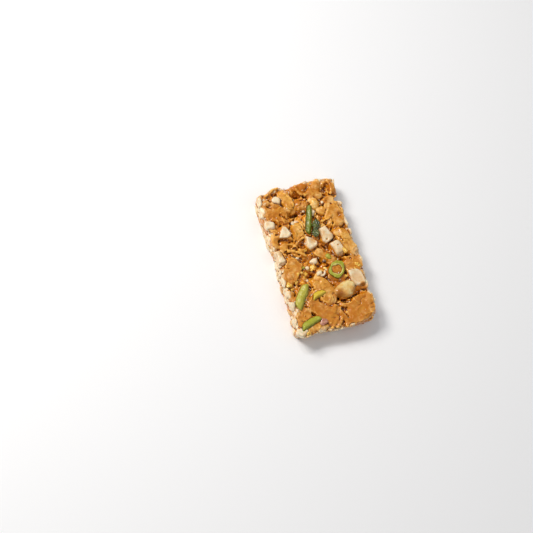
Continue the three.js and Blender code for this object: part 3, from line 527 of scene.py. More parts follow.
def turned(spec, x, y):
    cos, sin = math.cos(math.radians(spec["turn"])), math.sin(math.radians(spec["turn"]))
    dx, dy = x - spec["at"][0], y - spec["at"][1]
    return dx * cos + dy * sin, dy * cos - dx * sin


def sliverField(spec, x, y, z):
    # an oval rod, slightly bent, with one flat knife face and blunt slanted ends
    along, across = turned(spec, x, y)
    long, wide, tall = spec["size"]
    share = np.clip(along / (long / 2), -1, 1)
    across = across - spec["bend"] * (1 - share ** 2)
    up = z - (bar["plateLevel"] + spec["lift"] - tall / 2)
    taper = 1 - 0.28 * share ** 2 - 0.1 * share + 0.05 * np.sin(3.3 * share + long)
    near = np.sqrt((across / (wide / 2 * taper)) ** 2 + (up / (tall / 2)) ** 2) + 1e-4
    rod = (near - 1) * min(wide, tall) / 2
    rod = smoothMax(rod, across * 0.55 + up * 0.83 - 0.36 * wide, 0.5)
    rod = smoothMax(rod, -across * 0.75 + up * 0.66 - 0.39 * wide, 0.5)
    rod = smoothMax(rod, along * 0.9 + across * 0.35 - long / 2 * 0.93, 1.1)
    rod = smoothMax(rod, -along * 0.85 + across * 0.5 - long / 2 * 0.9, 1.1)
    return rod


def ringField(spec, x, y, z):
    along, across = turned(spec, x, y)
    angle = np.arctan2(across, along)
    uneven = 1 + 0.05 * np.sin(3 * angle + 1) + 0.03 * np.sin(5 * angle)
    midLong = (spec["outer"][0] - spec["wall"]) / 2 * uneven
    midShort = (spec["outer"][1] - spec["wall"]) / 2 * uneven
    radius = np.hypot(along, across)
    middle = midLong * midShort / np.hypot(midShort * np.cos(angle), midLong * np.sin(angle))
    up = z - (bar["plateLevel"] + spec["lift"] - spec["height"] / 2)
    wall = spec["wall"] / 2 * (1 + 0.26 * np.sin(2 * angle + 0.6) + 0.12 * np.sin(5 * angle + 1))
    side = np.abs(radius - middle) - wall + 0.55
    flat = np.abs(up - 0.2 * np.sin(angle * 2) - 0.14 * np.sin(angle * 5 + 2)) - spec["height"] / 2 + 0.55
    outside = np.hypot(np.maximum(side, 0), np.maximum(flat, 0))
    return outside + np.minimum(np.maximum(side, flat), 0) - 0.55


def addField(target, fieldOf, spec, middle, reach, axes, grow=0.0, soft=0.0):
    window = nutWindow({"centre": middle, "half": [reach]}, axes, 1.5)
    x, y, z = openAxes([axis[part] for axis, part in zip(axes, window)])
    field = fieldOf(spec, x, y, z) - grow
    if soft:
        target[window] = smoothMin(target[window], field, soft)
    else:
        target[window] = np.minimum(target[window], field)


def seatedField(grow, soft=0.0):
    # every seated piece together, grown by a wetting film or shrunk for a snug seat
    field = np.full((len(axes[0]), len(axes[1]), len(axes[2])), 4.0, np.float32)
    for spec in peanutPieces.values():
        addNut(field, pieceNut(spec), axes, grow, soft)
    for spec in slivers.values():
        addField(field, sliverField, spec, (*spec["at"], 12), spec["size"][0] / 2, axes, grow, soft)
    addField(field, ringField, ringPiece, (*ringPiece["at"], 12), 5.5, axes, grow, soft)
    return field


def threadField(spec, x, y, z):
    # a round thread along a curve through three places
    start, by, end, radius = spec
    field = np.float32(9)
    places = []
    for k in range(13):
        t = k / 12
        places.append([(1 - t) ** 2 * start[a] + 2 * t * (1 - t) * by[a] + t * t * end[a] for a in range(3)])
    for k in range(12):
        a, b = np.array(places[k]), np.array(places[k + 1])
        a[2] += bar["plateLevel"]
        b[2] += bar["plateLevel"]
        way = b - a
        t = ((x - a[0]) * way[0] + (y - a[1]) * way[1] + (z - a[2]) * way[2]) / way.dot(way)
        t = np.clip(t, 0, 1)
        gap = np.sqrt((x - a[0] - t * way[0]) ** 2 + (y - a[1] - t * way[1]) ** 2 + (z - a[2] - t * way[2]) ** 2)
        swell = 1 + 0.25 * math.sin(1.9 * k + 3 * radius)
        field = np.minimum(field, gap - radius * swell)
    return field


print("caramel body")
rough = latticeNoise(axes, 0.95, 31)
lumps = latticeNoise(axes, 2.6, 32)
steep = np.gradient(relief, grid["step"])
slope = np.sqrt(1 + steep[0] ** 2 + steep[1] ** 2)[:, :, None]
body = (gridZ - relief[:, :, None]) / np.minimum(slope, 2.4)
coatDraw = np.random.default_rng(9)
for nut in topNuts:
    addNut(body, nut, axes, coatDraw.uniform(*choppedNuts["coat"]), 0.7)
# the press flattened whatever rose above the plates
ceiling = np.maximum(relief + 0.15, bar["plateLevel"] - 0.35 + 0.25 * latticeNoise(axes[:2], 5, 33))[:, :, None]
body = smoothMax(body, gridZ - ceiling, 0.5)
# a film of caramel creeps up the lower sides of what is seated in the top
film = seatedField(0.28)
for nut in bareNuts:
    addNut(film, nut, axes, 0.22)
film = smoothMax(film, gridZ - (bar["plateLevel"] - 0.35 + 0.3 * lumps), 0.6)
body = smoothMin(body, film, 0.9)
for spec in pulledThreads:
    middle = (*spec[1][:2], bar["plateLevel"])
    reach = max(math.dist(spec[0][:2], spec[1][:2]), math.dist(spec[2][:2], spec[1][:2]))
    addField(body, threadField, spec, middle, reach, axes, 0.0, 0.8)
# caramel stands inside the ring nearly to its top, slightly domed
poolX, poolY = gridX - ringPiece["at"][0], gridY - ringPiece["at"][1]
poolOut = np.hypot(poolX, poolY)
poolTop = bar["plateLevel"] + ringPiece["lift"] - 0.15 - 0.35 * (np.hypot(poolX - 0.3, poolY - 0.3) / 2.6) ** 2 \
    - 0.4 * np.exp(-((poolX + 0.6) ** 2 + (poolY - 0.8) ** 2) / 0.8)
pool = smoothMax(poolOut - ringPiece["pool"], gridZ - poolTop, 0.5)
body = smoothMin(body, pool.astype(np.float32), 0.3)
# deep gaps between the plates
for gx, gy, radius, floorAt in deepGaps:
    window = nutWindow({"centre": (gx, gy, 12), "half": [radius]}, axes, 3.0)
    x, y, z = openAxes([axis[part] for axis, part in zip(axes, window)])
    hole = np.hypot(x - gx, y - gy) - radius + 1.0 * lumps[window] + 0.5 * rough[window]
    body[window] = smoothMax(body[window], -np.maximum(hole, floorAt - z), 0.35)
below = np.maximum(bar["plateLevel"] - gridZ, 0)
body += (0.05 + 0.17 * smoothStep(below, 0.9, 2.4)) * rough + (0.05 + 0.08 * smoothStep(below, 0.5, 1.5)) * lumps

# bubbles that burst as the sugar set, most of them in the hollows
bubbles = {"count": 200, "size": (0.4, 1.2), "sideCount": 150, "sideSize": (0.3, 1.0), "seed": 12}
bubbleDraw = np.random.default_rng(bubbles["seed"])


def popBubble(centre, radius):
    window = nutWindow({"centre": centre, "half": [radius]}, axes, 0.6)
    if any(part.stop <= part.start for part in window):
        return
    x, y, z = openAxes([axis[part] for axis, part in zip(axes, window)])
    ball = np.sqrt((x - centre[0]) ** 2 + (y - centre[1]) ** 2 + (z - centre[2]) ** 2) - radius + 0.45 * rough[window]
    body[window] = smoothMax(body[window], -ball, 0.2)


for _ in range(bubbles["count"]):
    x = bubbleDraw.uniform(-bar["width"] / 2, bar["width"] / 2)
    y = bubbleDraw.uniform(-bar["length"] / 2, bar["length"] / 2)
    radius = between(bubbles["size"], bubbleDraw.uniform(0, 1) ** 2)
    chance = bubbleDraw.uniform(0, 1)
    height = heightIn(relief, x, y)
    if bar["plateLevel"] - height < 1.2 and chance > 0.04:
        continue
    if bar["plateLevel"] - height < 1.2:
        radius *= 0.7
    popBubble((x, y, height - 0.15 * radius), radius)

# the cut sides: nuts and caramel nearly flush, with a gap here and there; the near right corner was
# never cut, and caramel runs down over it
uncut = 1 - smoothStep(np.hypot((gridX - 18) / 1.2, gridY + 45) / 13, 0.65, 1.0)
gaps = latticeNoise(axes, 2.4, 41)
recess = 0.7 + 0.4 * latticeNoise(axes, 1.3, 42) + (1.0 + 0.5 * rough) * smoothStep(gaps, 0.3, 0.9)
recess = np.maximum(recess, 0) * (1 - uncut) + 0.9 * uncut
body = smoothMax(body, plan + recess, 0.9)
for k in range(bubbles["sideCount"]):
    along, inset = bubbleDraw.uniform(-0.48, 0.48), bubbleDraw.uniform(0.5, 1.2)
    acrossAt, side = bar["width"] / 2 - inset, 1 if k % 4 < 2 else -1
    place = (side * acrossAt, along * bar["length"])
    if k % 2:
        place = (along * bar["width"], side * (bar["length"] / 2 - inset))
    popBubble((*place, bubbleDraw.uniform(0.8, 10.8)), between(bubbles["sideSize"], bubbleDraw.uniform(0, 1) ** 2))
# on the uncut corner the nuts bulge under their film of caramel
bulges = np.full(body.shape, 4.0, np.float32)
cutDraw = np.random.default_rng(67)
for nut in sideNuts:
    nut["sunk"] = 1.0 * cutDraw.uniform(0, 1) ** 2 - 0.1
    nut["lean"] = cutDraw.uniform(-0.1, 0.1, 2)
    addNut(bulges, nut, axes, 0.3, 0.6, wall=plan)
bulges = smoothMax(bulges + 4 * (1 - uncut), plan - 0.05, 1.0)
bulges = smoothMax(bulges, gridZ - relief[:, :, None] + 0.1, 0.8)
body = smoothMin(body, bulges, 1.0)
hollowsUnder = 0.5 * smoothStep(latticeNoise(axes[:2], 3.0, 43), 0.35, 0.8)[:, :, None]
body = smoothMax(body, -gridZ + 0.05 + 0.02 * rough + hollowsUnder, 0.45)

allNuts = np.full(body.shape, 4.0, np.float32)
for nut in topNuts + sideNuts + underNuts + bareNuts:
    addNut(allNuts, nut, axes)
shownNuts = np.full(body.shape, 4.0, np.float32)
nutTone = np.full(body.shape, 0.3, np.float32)
nextNut = np.full(body.shape, 4.0, np.float32)
for nut in sideNuts:
    addNut(shownNuts, nut, axes, tones=nutTone, wall=plan, second=nextNut)
for nut in underNuts:
    addNut(shownNuts, nut, axes, tones=nutTone, second=nextNut)
# a groove where two nuts touch
seams = np.exp(-((nextNut - shownNuts) / 0.3) ** 2) * (shownNuts < 1)
shownNuts += 0.5 * seams + 0.03 * rough + 0.05 * lumps
shownNuts = smoothMax(shownNuts, plan + 2.5 * uncut, 0.4)
shownNuts = smoothMax(shownNuts, -gridZ + 0.02, 0.3)
shownNuts = smoothMax(shownNuts, gridZ - relief[:, :, None] - 0.2, 0.6)

bareOnly = np.full(body.shape, 4.0, np.float32)
for nut in bareNuts:
    addNut(bareOnly, nut, axes, tones=nutTone)
bareOnly += 0.05 * rough + 0.12 * lumps
bareOnly = smoothMax(bareOnly, plan - 0.15 - 0.08 * lumps, 0.35)
bareOnly = smoothMax(bareOnly, -gridZ + 0.02, 0.3)
shownNuts = np.minimum(shownNuts, bareOnly)

# nothing of the caramel lies over a seated piece or over a bare nut
seated = seatedField(0.0)
body = np.maximum(body, -(seated + 0.16))
body = smoothMax(body, -(bareOnly + 0.14), 0.15)
for pieces in (seated, bareOnly):
    inside = pieces < 0
    topOf = np.where(inside.any(2), axes[2][len(axes[2]) - 1 - np.argmax(inside[:, :, ::-1], 2)], 99)[:, :, None]
    above = np.maximum(pieces.min(2)[:, :, None] + 0.25, topOf + 0.1 - gridZ)
    body = smoothMax(body, -above, 0.2)
# nuts deeper than this under the caramel never show
shownNuts = np.maximum(shownNuts, -body - 1.1)
shownNuts = np.maximum(shownNuts, -(seated - 0.05))


# how full the neighbourhood of a point is: low on ridges, high in hollows
def boxMean(values, reach):
    cells = max(1, int(round(reach / grid["step"])))
    for k in range(3):
        padded = np.concatenate([np.repeat(np.take(values, [0], k), cells + 1, k), values,
                                 np.repeat(np.take(values, [-1], k), cells, k)], k)
        total = np.cumsum(padded, axis=k, dtype=np.float64)
        size = values.shape[k]
        upper = np.take(total, range(2 * cells + 1, 2 * cells + 1 + size), k)
        lower = np.take(total, range(0, size), k)
        values = ((upper - lower) / (2 * cells + 1)).astype(np.float32)
    return values


together = np.minimum(body, np.minimum(shownNuts, seated))
full = smoothStep(-together, -0.25, 0.25).astype(np.float32)
fullFine = boxMean(full, 0.8)
fullWide = boxMean(boxMean(full, 1.4), 1.4)
solidHere = together < 0
surfaceTop = np.where(solidHere.any(2), axes[2][len(axes[2]) - 1 - np.argmax(solidHere[:, :, ::-1], 2)], 0)


# ---------- meshes ----------
def sampleField(field, points, spec):
    at = (points - np.array(spec["low"])) / spec["step"]
    at = np.clip(at, 0, np.array(field.shape) - 1.001)
    cell = at.astype(int)
    part = at - cell
    total = np.zeros(len(points))
    for i in (0, 1):
        for j in (0, 1):
            for k in (0, 1):
                weight = (part[:, 0] if i else 1 - part[:, 0]) * (part[:, 1] if j else 1 - part[:, 1]) \
                    * (part[:, 2] if k else 1 - part[:, 2])
                total += weight * field[cell[:, 0] + i, cell[:, 1] + j, cell[:, 2] + k]
    return total


def islandLabels(count, edges):
    labels = np.arange(count)
    while True:
        low = np.minimum(labels[edges[:, 0]], labels[edges[:, 1]])
        fresh = labels.copy()
        np.minimum.at(fresh, edges[:, 0], low)
        np.minimum.at(fresh, edges[:, 1], low)
        fresh = fresh[fresh]
        if np.array_equal(fresh, labels):
            return labels
        labels = fresh


def fieldFaces(field, spec, smallest=40):
    # the closed surface where the field is zero, without its smallest scraps
    volume = openvdb.FloatGrid(background=3.0)
    volume.copyFromArray(np.ascontiguousarray(np.clip(field, -3, 3), dtype=np.float32))
    points, triangles, quads = volume.convertToPolygons(isovalue=0.0, adaptivity=0.0)
    points = points * spec["step"] + np.array(spec["low"])
    corners = np.concatenate([triangles.ravel(), quads.ravel()]).astype(np.int64)
    sizes = np.concatenate([np.full(len(triangles), 3), np.full(len(quads), 4)]).astype(np.int64)
    starts = np.concatenate([[0], np.cumsum(sizes)[:-1]])
    edges = np.concatenate([np.stack([quads[:, a], quads[:, b]], 1) for a, b in ((0, 1), (1, 2), (2, 3))]
                           + [np.stack([triangles[:, a], triangles[:, b]], 1) for a, b in ((0, 1), (1, 2))])
    labels = islandLabels(len(points), edges.astype(np.int64))
    keepPoint = np.bincount(labels, minlength=len(points))[labels] >= smallest
    keepFace = keepPoint[corners[starts]]
    corners = (np.cumsum(keepPoint) - 1)[corners[np.repeat(keepFace, sizes)]]
    return points[keepPoint], corners, sizes[keepFace]


def buildPiece(name, shells, most=None):
    # one mesh object of one or more closed shells, thinned where it has too many triangles
    offsets = np.concatenate([[0], np.cumsum([len(shell[0]) for shell in shells])[:-1]])
    points = np.concatenate([shell[0] for shell in shells])
    corners = np.concatenate([shell[1] + start for shell, start in zip(shells, offsets)])
    sizes = np.concatenate([shell[2] for shell in shells])
    mesh = bpy.data.meshes.new(name)
    mesh.vertices.add(len(points))
    mesh.vertices.foreach_set("co", (points * mm).astype(np.float32).ravel())
    mesh.loops.add(len(corners))
    mesh.loops.foreach_set("vertex_index", corners.astype(np.int32))
    mesh.polygons.add(len(sizes))
    mesh.polygons.foreach_set("loop_start", np.concatenate([[0], np.cumsum(sizes)[:-1]]).astype(np.int32))
    mesh.update(calc_edges=True)
    mesh.validate()
    piece = bpy.data.objects.new(name, mesh)
    bpy.context.scene.collection.objects.link(piece)
    triangles = int((sizes - 2).sum())
    if most and triangles > most:
        thin = piece.modifiers.new("thin", "DECIMATE")
        thin.ratio = most / triangles
        applyModifiers(piece)
    piece.data.polygons.foreach_set("use_smooth", np.ones(len(piece.data.polygons), bool))
    print("  ", name, triangles, "triangles made,", sum(len(face.vertices) - 2 for face in piece.data.polygons), "kept")
    return piece, meshPoints(piece.data)


def applyModifiers(piece):
    depsgraph = bpy.context.evaluated_depsgraph_get()
    made = bpy.data.meshes.new_from_object(piece.evaluated_get(depsgraph))
    piece.modifiers.clear()
    made.name = piece.name
    piece.data = made


def meshPoints(mesh):
    flat = np.empty(len(mesh.vertices) * 3, np.float32)
    mesh.vertices.foreach_get("co", flat)
    return flat.reshape(-1, 3).astype(float) / mm


def setAttribute(piece, name, values):
    layer = piece.data.attributes.new(name, "FLOAT", "POINT")
    layer.data.foreach_set("value", np.asarray(values, np.float32))


def stainsAt(points, stains):
    total = np.zeros(len(points))
    for x, y, radius, strength in stains:
        near = ((points[:, 0] - x) ** 2 + (points[:, 1] - y) ** 2) / radius ** 2
        total = np.maximum(total, strength * np.exp(-near ** 1.5))
    return total


# where clear syrup collected and the caramel is deep amber: x, y, radius, strength
amberPlaces = [(3.5, 41.5, 3.4, 0.9), (18.4, 39.4, 2.6, 1.0), (19.8, 20.8, 2.2, 0.9), (-2.8, 33.1, 1.5, 0.9),
               (6.0, -17.4, 4.8, 1.0), (3.6, -25.6, 2.6, 0.9), (20.6, -23.2, 2.2, 1.0), (7.0, -10.0, 1.4, 0.5),
               (-23.2, -36.4, 2.6, 0.5), (8.2, -42.0, 4.0, 0.5), (-13.0, -27.0, 3.6, 0.4), (-8.6, 9.6, 2.6, 0.6),
               (-10.2, 16.9, 2.0, 0.7), (-18.0, 13.0, 4.6, 0.7), (15.2, 31.6, 2.6, 0.5), (-19.0, 28.0, 4.0, 0.4),
               (-4.6, 45.0, 3.0, 0.8), (16.2, -0.8, 2.0, 0.7), (-6.0, -19.6, 1.8, 0.5), (21.0, 12.0, 3.0, 0.4),
               (-22.0, -20.0, 3.0, 0.5), (14.0, -42.6, 5.0, 0.35)]

print("meshes")
caramel, points = buildPiece("caramel", [fieldFaces(body, grid, 4000)], 194000)
upward = np.empty(len(caramel.data.vertices) * 3, np.float32)
caramel.data.vertices.foreach_get("normal", upward)
upward = upward.reshape(-1, 3)[:, 2]
# hollow and crease also set painted shade, and on ridges painted highlight, in the caramel's colour
hollow = sampleField(fullWide, points, grid) - 0.5
setAttribute(caramel, "crease", sampleField(fullFine, points, grid) - 0.5)
onTop = smoothStep(points[:, 2], bar["plateLevel"] - 2.4, bar["plateLevel"] - 1.0)
setAttribute(caramel, "hollow", hollow * (0.55 + 0.45 * onTop))
nutBelow = 1 - smoothStep(sampleField(allNuts, points, grid), 0.0, 1.3)
setAttribute(caramel, "nutBelow", nutBelow * (0.3 + 0.7 * onTop))
pressed = smoothStep(upward, 0.72, 0.95) * (1 - smoothStep(hollow, 0.03, 0.12)) * onTop
setAttribute(caramel, "pressed", pressed)
plateTone[np.hypot(gridX - ringPiece["at"][0], gridY - ringPiece["at"][1])[:, :, 0] < 3.4] = 0.42
setAttribute(caramel, "plateTone", sampleField(plateTone[:, :, None].repeat(2, 2), points * (1, 1, 0), grid))
setAttribute(caramel, "amber", stainsAt(points, amberPlaces) * smoothStep(points[:, 2], 8, 10.5))
crumbly = smoothStep(hollow, 0.0, 0.12) * smoothStep(points[:, 2], bar["plateLevel"] - 4.5, bar["plateLevel"] - 2.5)
onSide = (1 - onTop) * smoothStep(1 - np.abs(upward), 0.4, 0.8) * smoothStep(points[:, 2], 0.8, 1.6)
setAttribute(caramel, "grainsHere", np.clip(crumbly + 0.01 * pressed + 0.1 * onSide, 0, 1))

peanutBits, points = buildPiece("peanut_bits", [fieldFaces(shownNuts, grid, 30)], 150000)
wet = 1 - smoothStep(sampleField(body, points, grid), -0.15, 0.7)
setAttribute(peanutBits, "wet", np.maximum(wet, 0.9 * sampleField(seams, points, grid)))
setAttribute(peanutBits, "crease", sampleField(fullFine, points, grid) - 0.5)
setAttribute(peanutBits, "tone", sampleField(nutTone, points, grid))
smears = smoothStep(sampleField(latticeNoise(axes, 3.6, 91), points, grid), 0.2, 0.7)
smears = 0.4 * smears * (1 - smoothStep(points[:, 2], bar["plateLevel"] - 1.5, bar["plateLevel"] - 0.5))
setAttribute(peanutBits, "stain", np.maximum(stainsAt(points, [(-23.6, 24.6, 1.6, 0.3)]), smears))


# ---------- seated pieces, each on a finer grid of its own ----------
def fineGrid(middle, reach, step):
    return {"step": step, "low": tuple(c - r for c, r in zip(middle, reach)),
            "high": tuple(c + r for c, r in zip(middle, reach))}


seatedObjects = {}
for name, spec in peanutPieces.items():
    nut = pieceNut(spec)
    reach = max(spec["size"]) / 2 + 1
    fine = fineGrid(nut["centre"], (reach, reach, spec["size"][2] / 2 + 1), 0.2)
    fineAxes = gridAxes(fine)
    x, y, z = openAxes(fineAxes)
    field = nutField(nut, x, y, z, round=1.3 if name == "peanut_glazed" else 0.55)
    field = field + 0.22 * latticeNoise(fineAxes, 2.4, 50) + 0.09 * latticeNoise(fineAxes, 1.1, 51)
    if name != "peanut_glazed":
        field = field + 0.05 * latticeNoise(fineAxes, 0.5, 52)
    top = bar["plateLevel"] + spec["lift"]
    for hx, hy, radius, depth in spec["hollows"]:
        ball = (radius ** 2 + depth ** 2) / (2 * depth)
        scoop = np.sqrt((x - hx) ** 2 + (y - hy) ** 2 + (z - (top + ball - depth)) ** 2) - ball
        field = smoothMax(field, -scoop, 0.3)
    if name == "peanut_edge":
        field = smoothMax(field, planField(x, y, z) - 0.1, 0.3)
    piece, points = buildPiece(name + "_piece", [fieldFaces(field, fine)])
    setAttribute(piece, "wet", 1 - smoothStep(sampleField(body, points, grid), -0.1, 0.8))
    setAttribute(piece, "crease", sampleField(fullFine, points, grid) - 0.5)
    setAttribute(piece, "stain", stainsAt(points, spec["stains"]))
    setAttribute(piece, "tone", np.full(len(points), 0.3))
    seatedObjects[name] = piece

for name, spec in slivers.items():
    middle = (*spec["at"], bar["plateLevel"] + spec["lift"] - spec["size"][2] / 2)
    reach = spec["size"][0] / 2 + 0.8
    fine = fineGrid(middle, (reach, reach, spec["size"][2] / 2 + 0.8), 0.17)
    fineAxes = gridAxes(fine)
    x, y, z = openAxes(fineAxes)
    field = sliverField(spec, x, y, z) + 0.26 * latticeNoise(fineAxes, 2.6, 60)
    field = field + 0.1 * latticeNoise(fineAxes, 1.0, 61) + 0.04 * latticeNoise(fineAxes, 0.45, 62)
    piece, points = buildPiece(name + "_piece", [fieldFaces(field, fine)])
    along, across = turned(spec, points[:, 0], points[:, 1])
    setAttribute(piece, "along", along / spec["size"][0] * 2)
    # the flank's sign is turned round on the long sliver, so its painted shade lies on its other flank
    setAttribute(piece, "flank", across / spec["size"][1] * (-2 if name.endswith("long") else 2))
    setAttribute(piece, "lip", np.zeros(len(points)))
    setAttribute(piece, "wet", 1 - smoothStep(sampleField(body, points, grid), -0.1, 0.6))
    seatedObjects[name] = piece

fine = fineGrid((*ringPiece["at"], bar["plateLevel"] + ringPiece["lift"] - 1.4), (6.2, 6.2, 2.4), 0.17)
fineAxes = gridAxes(fine)
x, y, z = openAxes(fineAxes)
field = ringField(ringPiece, x, y, z) + 0.2 * latticeNoise(fineAxes, 1.8, 70) + 0.1 * latticeNoise(fineAxes, 0.8, 71)
piece, points = buildPiece("pistachio_ring_piece", [fieldFaces(field, fine)])
along, across = turned(ringPiece, points[:, 0], points[:, 1])
outward = (np.hypot(along, across) - 3.9) / 1.0
setAttribute(piece, "along", np.arctan2(across, along) * 1.5)
setAttribute(piece, "flank", np.maximum(outward, 0))
setAttribute(piece, "lip", smoothStep(-outward, 0.3, 0.75))
setAttribute(piece, "wet", 1 - smoothStep(sampleField(body, points, grid), -0.1, 0.6))
seatedObjects["pistachio_ring"] = piece


def crumpledLeaf(spec):
    # a thin folded sheet with a ragged edge
    across, along = 34, 68
    points, faces = [], []
    cos, sin = math.cos(math.radians(spec["turn"])), math.sin(math.radians(spec["turn"]))
    base = bar["plateLevel"] + spec["lift"] - spec["thickness"] / 2
    for face in (0.5, -0.5):
        for j in range(along + 1):
            v = 2 * j / along - 1
            size = (0.14 + 0.86 * (1 - v * v) ** 0.6) * (1 - 0.42 * math.exp(-((v + 0.08) / 0.2) ** 2))
            for i in range(across + 1):
                u = 2 * i / across - 1
                ragged = 1 + 0.11 * math.sin(17 * v + 3 * u) * abs(u) + 0.07 * math.sin(31 * v) * abs(u)
                crease = spec["crumple"] * (math.sin(5.2 * v + 1.3 * u) * 0.7 + math.cos(3.1 * u - 2.2 * v) * 0.5)
                crease += 0.3 * math.sin(13 * v - 5 * u) + 0.2 * abs(math.sin(5 * u + 4 * v)) - 0.3 * abs(u) ** 3
                crease -= 0.35 * math.exp(-((v + 0.1 + 0.3 * u) / 0.12) ** 2)
                thin = spec["thickness"] * 0.7 * (1 - 0.55 * u ** 4)
                px = v * spec["size"][0] / 2
                py = u * spec["size"][1] / 2 * size * ragged
                points.append((spec["at"][0] + px * cos - py * sin, spec["at"][1] + px * sin + py * cos,
                               base + crease + face * thin))
    half = (across + 1) * (along + 1)

    def at(i, j):
        return j * (across + 1) + i

    for j in range(along):
        for i in range(across):
            quad = (at(i, j), at(i, j + 1), at(i + 1, j + 1), at(i + 1, j))
            faces.append(quad)
            faces.append(tuple(k + half for k in reversed(quad)))
    rim = [at(i, 0) for i in range(across)] + [at(across, j) for j in range(along)] \
        + [at(i, along) for i in range(across, 0, -1)] + [at(0, j) for j in range(along, 0, -1)]
    for k, a in enumerate(rim):
        b = rim[(k + 1) % len(rim)]
        faces.append((a, b, b + half, a + half))
    mesh = bpy.data.meshes.new("herb_leaf_piece")
    mesh.from_pydata([Vector(p) * mm for p in points], [], faces)
    work = bmesh.new()
    work.from_mesh(mesh)
    bmesh.ops.recalc_face_normals(work, faces=work.faces)
    work.to_mesh(mesh)
    work.free()
    mesh.shade_smooth()
    leaf = bpy.data.objects.new("herb_leaf_piece", mesh)
    bpy.context.scene.collection.objects.link(leaf)
    return leaf


seatedObjects["herb_leaf"] = crumpledLeaf(leafPiece)

# small bits on the top: x, y, length, width, height, turn, how far the top stands over the surface
smallBits = {
    "golden_flakes": [(-6.4, 4.4, 3.0, 1.5, 0.9, 20, 0.5), (-4.5, -6.4, 5.0, 3.6, 2.2, 30, 1.2),
                      (-13.0, -7.6, 2.8, 1.8, 1.2, 100, 0.6), (-10.3, -8.8, 4.2, 2.6, 1.8, 20, 1.1),
                      (-15.2, -8.4, 3.0, 1.4, 1.0, 60, 0.5), (-22.0, -13.5, 4.4, 3.2, 1.8, 110, 0.9),
                      (-17.0, -12.7, 2.6, 1.6, 1.0, 40, 0.6), (20.6, -10.1, 3.0, 1.8, 1.2, 150, 0.7),
                      (22.1, -11.4, 2.4, 1.6, 1.2, 40, 0.6), (12.2, -15.6, 2.6, 1.4, 1.0, 10, 0.5),
                      (15.8, -0.8, 6.2, 2.2, 2.4, 118, 1.0), (-11.4, -11.0, 2.4, 1.6, 1.2, 70, 0.8),
                      (-8.6, 23.4, 2.0, 1.3, 0.9, 30, 0.5), (18.8, -12.6, 2.4, 1.3, 0.8, 95, 0.4),
                      (-19.4, -43.0, 3.6, 2.4, 1.4, 15, 0.5), (3.2, 36.6, 1.8, 1.0, 0.8, 30, 0.4),
                      (2.6, -8.4, 3.6, 1.8, 1.6, 125, 0.8), (-12.2, 5.0, 3.4, 1.2, 1.0, 165, 0.6),
                      (-7.4, -6.8, 2.2, 1.4, 1.2, 80, 0.7), (-20.6, -16.4, 2.6, 1.4, 1.2, 20, 0.6)],
    "nut_chips": [(-3.2, -3.0, 5.6, 3.4, 2.4, 17, 1.5), (-2.7, -10.9, 4.3, 3.8, 3.0, 132, 1.7),
                  (-8.2, -5.8, 3.0, 2.2, 1.8, 130, 0.9),
                  (-12.3, 1.1, 2.6, 1.8, 1.6, 10, 0.7), (-10.2, -12.9, 2.6, 2.0, 1.6, 20, 0.7),
                  (-6.8, 22.3, 3.6, 2.6, 2.2, 40, 1.0), (-8.9, 21.3, 2.8, 2.2, 1.8, 110, 0.8),
                  (5.0, 25.6, 3.6, 3.0, 2.4, 60, 0.9), (12.2, 30.4, 2.2, 1.6, 1.4, 60, 0.6),
                  (-0.4, 27.4, 2.2, 1.6, 1.4, 20, 0.6), (2.6, -9.4, 2.4, 1.6, 1.6, 110, 0.7)],
    "green_bits": [(5.8, -2.1, 4.6, 2.9, 2.0, 147, 0.9), (-10.6, -5.0, 3.0, 1.8, 1.4, 160, 0.7),
                   (9.4, -6.2, 3.4, 1.5, 1.2, 28, 0.7)],
    "pink_skin": [(-8.7, -38.6, 5.4, 4.4, 1.8, 30, 1.0)],
    "dark_seeds": [(-14.3, 1.8, 3.0, 1.9, 1.6, 165, 0.8), (3.1, -3.7, 2.6, 2.2, 1.5, 20, 0.5)],
}
chipHook = ((-2.0, -12.4, 0.1), (0.4, -12.9, 0.3), (0.6, -10.2, 0.2), 0.5)     # the chip with a curled end
bitObjects = {}
bitDraw = np.random.default_rng(77)
for name, places in smallBits.items():
    shells = []
    for x, y, long, wide, tall, turn, lift in places:
        top = heightIn(surfaceTop, x, y) + lift
        nut = makeNut(bitDraw, (x, y, top - 0.45 * tall), (long, wide, tall), turn=math.radians(turn), tilt=0.2 if name == "pink_skin" else 0.4)
        fine = fineGrid(nut["centre"], (long / 2 + 0.6, long / 2 + 0.6, tall / 2 + 0.7), 0.13)
        fineAxes = gridAxes(fine)
        field = nutField(nut, *openAxes(fineAxes), round=0.15)
        jag = 0.32 if name == "golden_flakes" else 0.1
        field = field + jag * latticeNoise(fineAxes, 0.9, 80) + 0.06 * latticeNoise(fineAxes, 0.4, 81)
        if name == "nut_chips" and len(shells) == 1:
            fine = fineGrid((-1.7, -11.2, bar["plateLevel"]), (3.4, 3.4, 3.0), 0.13)
            fineAxes = gridAxes(fine)
            x, y, z = openAxes(fineAxes)
            field = smoothMin(nutField(nut, x, y, z, round=0.3), threadField(chipHook, x, y, z), 0.3)
            field = field + 0.1 * latticeNoise(fineAxes, 0.9, 80)
        shells.append(fieldFaces(field, fine))
    piece, points = buildPiece(name, shells)
    zeros = np.zeros(len(points))
    for title in ("along", "flank", "lip", "wet", "stain", "crease", "tone"):
        setAttribute(piece, title, zeros)
    bitObjects[name] = piece


# ---------- materials ----------
def linear(hexColour):
    channels = [int(hexColour[k:k + 2], 16) / 255 for k in (1, 3, 5)]
    return [c / 12.92 if c <= 0.04045 else ((c + 0.055) / 1.055) ** 2.4 for c in channels] + [1.0]


def node(tree, kind, settings=None, links=None, **inputs):
    # one node with its settings, its inputs' values by name and its links as {input: socket}
    made = tree.nodes.new(kind)
    for key, value in (settings or {}).items():
        setattr(made, key, value)
    for key, value in inputs.items():
        made.inputs[key.replace("_", " ")].default_value = value
    for key, socket in (links or {}).items():
        tree.links.new(socket, made.inputs[key])
    return made


